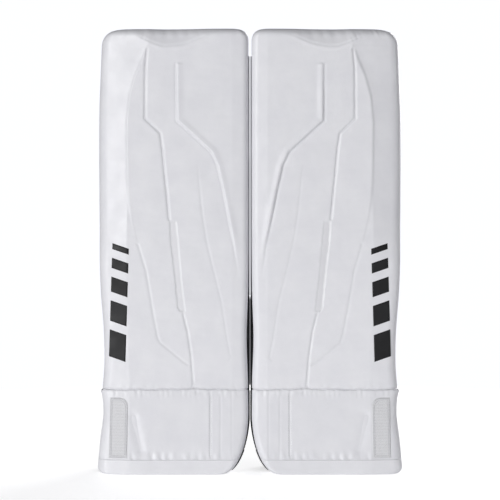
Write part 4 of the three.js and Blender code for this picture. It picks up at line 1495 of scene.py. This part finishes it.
def route_stitches(route, height, first, last, width, lift):
    """A box of stitches with a cross in it, on a band, between two places along its route."""
    run = run_along(route)
    parts = []
    half, count = width / 2, 12
    a, b, c, d = (first, -half), (last, -half), (first, half), (last, half)
    legs = [(a, b), (c, d), (a, c), (b, d), (a, d), (c, b)]
    raised = offset_route(route, lift)
    away = raised - offset_route(route, lift - 1)
    for (start, low), (end, high) in legs:
        at = np.linspace(start, end, count)
        u, v = (np.interp(at, run, raised[:, k]) for k in range(2))
        normal = np.stack([np.interp(at, run, away[:, k]) for k in range(2)] + [np.zeros(count)], 1)
        path = np.column_stack([u, v, height + np.linspace(low, high, count)])
        parts.append(stitches(path, normal, 3.6, 2.6, 0.38, 0.6))
    return joined(parts)


def straps(side):
    """The straps round the back of the leg, each with its stitches, its end, its anchor and its landing."""
    for name, (start, end, landing, bulge, width, height, bodies) in STRAPS.items():
        body, hinge, rest = bodies
        route = strap_route(start, end, landing, bulge)
        put(side, name, *ribbon(route, height, width, STRAP_THICK, 9), "webbing", body, [name])
        length = run_along(route)[-1]
        lift = out_of_leg(route) * (STRAP_THICK / 2 + 0.1)
        boxes = [
            route_stitches(route, height, 8, 30, width - 12, lift),
            route_stitches(route, height, length - min(landing, 30) + 2, length - 4, width - 14, lift),
        ]
        put(side, f"{name}_stitches", *joined(boxes), "black_thread", body)
        strap_end(side, name, route, height, width, body)
        strap_anchor(side, name, start, height, width, hinge)
        landing_patch(side, name, end, landing, height, width, rest)


def out_of_leg(route):
    """1 where a route's outer side is the side away from the leg, and -1 where it is the other."""
    middle = len(route) // 2
    return 1.0 if offset_route(route, 1.0)[middle, 1] > route[middle, 1] else -1.0


def strap_end(side, name, route, height, width, body):
    """A leather binding folded over the strap's free end, with a pull tab."""
    folded = ribbon(route[-5:], height, width - 1.0, STRAP_THICK + 1.6, 9)
    along = (route[-1] - route[-3]) / np.linalg.norm(route[-1] - route[-3])
    tab_route = np.linspace(route[-1] - along * 4, route[-1] + along * 5.5, 6)
    tab = ribbon(tab_route, height, width * 0.45, 2.0, 5)
    put(side, f"{name}_end", *joined([folded, tab]), "black_leather", body)


def strap_anchor(side, name, pivot, height, width, body):
    """The loop that the strap turns in: webbing sewn to the flap's outer side, and the roll inside it."""
    u, v = pivot
    outer = u + 7.0
    route = [(outer + 0.9, v - 34), (outer + 0.9, v - 8), (outer + 0.4, v - 5)]
    route += [(outer - 2, v - 3.1), (outer - 8, v - 2.9)]
    band = ribbon(resampled(np.array(route, float), 24), height, width, 1.6)
    spots = np.array([(u, v, z) for z in np.linspace(height - width / 2, height + width / 2, 12)])
    put(side, f"{name}_loop", *joined([band, tube(spots, 2.4, 12)]), "webbing", body)
    line = np.array(route[:2], float)
    boxed = route_stitches(resampled(line, 12), height, 3, 23, width - 8, out_of_leg(line))
    put(side, f"{name}_loop_stitches", *boxed, "black_thread", body)


def landing_patch(side, name, end, landing, height, width, body):
    """The hook tape that the strap's free end lands on."""
    u, v = end
    reach = landing - 4 if landing > 30 else landing - 8
    route = np.linspace((u + reach, v - 2.9), (u - 0.5, v - 2.9), 20)
    put(side, f"{name}_landing", *ribbon(route, height, width + 3, 1.8, 3), "hook_tape", body)


def toe_loop(side):
    """The toe tab on the boot's back, and the strap under it that holds the skate's toe."""
    low, high, reach, proud = 44.0, 74.0, 24.0, 7.4
    tab = Panel(box(-reach, reach, low, high), 5, 2.6, 0.9, (), 0.2, 5, True)

    def plane(z):
        return back(z) + proud

    points, faces = tab.mesh()
    put(side, "toe_tab", behind(plane)(points), faces, "black_leather", "boot", ["toe_tab"])
    sewn = behind(plane)(tab.on_top(tab.inset(3.5)))
    put(side, "toe_tab_stitches", *stitches(sewn, (0, 1, 0), radius=0.4), "black_thread", "boot")
    shift = back(42.5) + proud + 3.8
    route = strap_route((reach, shift), (-reach, shift), 6, 26, 40)
    put(side, "toe_strap", *ribbon(route, 30, 25, STRAP_THICK), "webbing", "toe_loop", ["toe_strap"])


# ------------------------------------------------------------------ the folds of cloth at the flaps' hinges

HINGES = {
    # flap: where its sleeve runs across, from which height to which, and the body that the flap turns on
    "inner_calf_flap": (-107.5, 192, 424, "pad"),
    "outer_calf_flap": (113.5, 192, 424, "pad"),
    "outer_knee_flap": (113.5, 454, 586, "pad"),
    "inner_boot_flap": (-104.5, 8, 130, "boot"),
    "outer_boot_flap": (107.5, 8, 130, "boot"),
}
SLEEVE = {"reach": 20.0, "spread": 5.0, "lap": 1.6, "thick": 0.9, "above": 0.5}


def hinge_sleeves(side):
    """A narrow strip of nylon that covers each flap's base, sewn to the pad and to the flap."""
    for flap, (foot, low, high, base) in HINGES.items():
        z = np.linspace(low, high, 40)
        out = math.copysign(1.0, foot)
        rows = []
        for s in np.linspace(0, 1, 12):
            spread, lap = SLEEVE["spread"] * (1 - smooth(0, 0.45, s)), SLEEVE["lap"] * smooth(0.3, 1, s)
            u = foot + out * spread - out * lap
            v = back(z) + SLEEVE["above"] + SLEEVE["reach"] * max(0, s - 0.12) / 0.88
            waves = 0.3 * np.sin(z / 4.0) * math.sin(math.pi * s)
            rows.append(np.column_stack([np.full(z.shape, u) + waves, v, z]))
        outer = np.array(rows)
        lining = outer - np.array([out * SLEEVE["thick"], 0, 0])
        piece = put(side, f"{flap}_sleeve", *shell(outer, lining, 1), "black_nylon", None)
        middle = (low + high) / 2
        lean = float(back(high) - back(low)) / (high - low)
        away = SLEEVE["reach"] / math.hypot(1, lean)
        rear = float(back(middle)) + SLEEVE["above"]
        bridged(piece, side, (foot, rear, middle), (foot, rear + away, middle - lean * away))


# ------------------------------------------------------------------ the studio


def area_light(name, left, up, distance, size, power):
    """A soft box that looks at the object's middle, from that many degrees left of the front and up."""
    data = bpy.data.lights.new(name, "AREA")
    data.shape = "RECTANGLE"
    data.size, data.size_y = size
    data.energy = power
    light = bpy.data.objects.new(name, data)
    turn, rise = math.radians(left), math.radians(up)
    out = Vector((-math.sin(turn) * math.cos(rise), -math.cos(turn) * math.cos(rise), math.sin(rise)))
    low, high = CAD_BOX
    light.location = (low + high) / 2 + out * distance
    light.visible_camera = False
    light.rotation_mode = "QUATERNION"
    light.rotation_quaternion = (-out).to_track_quat("-Z", "Y")
    bpy.context.scene.collection.objects.link(light)


def studio():
    """The camera, the lights and the white ground that the pads stand on."""
    scene = bpy.context.scene
    scene.view_settings.view_transform = "Standard"
    scene.view_settings.look = "None"
    low, high = CAD_BOX
    distance, lens, sensor, lift = 2.545, 100.0, 36.0, 0.0018
    camera = bpy.data.objects.new("camera", bpy.data.cameras.new("camera"))
    camera.data.lens, camera.data.sensor_width = lens, sensor
    camera.location = (0.0, low.y - distance, (low.z + high.z) / 2 + lift)
    camera.rotation_euler = (math.pi / 2, 0, 0)
    scene.collection.objects.link(camera)
    scene.camera = camera

    world = bpy.data.worlds.new("studio")
    world.use_nodes = True
    nodes, links = world.node_tree.nodes, world.node_tree.links
    background = nodes["Background"]
    background.inputs["Color"].default_value = (0.94, 0.95, 1.0, 1)
    seen = nodes.new("ShaderNodeLightPath").outputs["Is Camera Ray"]
    strength = nodes.new("ShaderNodeMapRange")
    strength.inputs["To Min"].default_value = 0.13
    strength.inputs["To Max"].default_value = 1.06
    links.new(seen, strength.inputs["Value"])
    links.new(strength.outputs["Result"], background.inputs["Strength"])
    scene.world = world

    area_light("key", 37, 4, 4.4, (1.0, 1.6), 121)
    area_light("rim", -82, 6, 2.6, (0.4, 1.4), 9)
    area_light("fill", -20, -6, 1.8, (0.5, 1.0), 4.4)
    area_light("behind", -150, 20, 3.6, (1.6, 1.6), 90)

    size, sides, level = 1.6, 96, -0.0006
    turn = np.linspace(0, math.tau, sides, endpoint=False)
    rings = [size * share for share in (0.25, 0.5, 0.75, 1.0)]
    points = [(0.0, 0.0, level)]
    points += [(r * math.cos(t), r * math.sin(t), level) for r in rings for t in turn]
    faces = [(0, 1 + i, 1 + (i + 1) % sides) for i in range(sides)]
    faces += [tuple(i + 1 for i in f) for f in grid_faces(len(rings), sides, wrap=True, flip=True)]
    mesh = bpy.data.meshes.new("floor")
    mesh.from_pydata(points, [], faces)
    recipe = Recipe("floor", (0.9, 0.9, 0.91), 0.6, specular=0.2)
    recipe.bump(recipe.noise(3, 3), 0.05, 0.2)
    recipe.shader.inputs["Emission Color"].default_value = (1, 1, 1, 1)
    for_camera = recipe.node("ShaderNodeLightPath").outputs["Is Camera Ray"]
    glow = recipe.mapped(for_camera, 0, 1, 0.12, 0.62)
    recipe.tree.links.new(glow, recipe.shader.inputs["Emission Strength"])
    mesh.materials.append(recipe.paint())
    floor = bpy.data.objects.new("floor", mesh)
    scene.collection.objects.link(floor)


# ------------------------------------------------------------------ building

def finish_cad_nodes():
    """The CAD pieces that keep their own shape take their finish here."""
    slots = {row["node"]: row["material_slot"] for row in frame["record"]["subparts"]}
    for name, node in frame["nodes"].items():
        node.data.materials.clear()
        node.data.materials.append(FINISHES[slots[name]])


def build_pad(side):
    """Every piece of one pad."""
    face_cover(side)
    boot_cover(side)
    wear_strip(side)
    front_core(side)
    side_graphic(side)
    boot_tag(side)
    boot_gusset(side)
    bindings(side)
    back_cover(side)
    boot_back(side)
    side_gussets(side)
    heel_fold(side)
    corner_piping(side)
    liners(side)
    knee_stack(side)
    wings(side)
    straps(side)
    toe_loop(side)
    hinge_sleeves(side)


studio()
finish_cad_nodes()
for pad_side in SIDES:
    build_pad(pad_side)
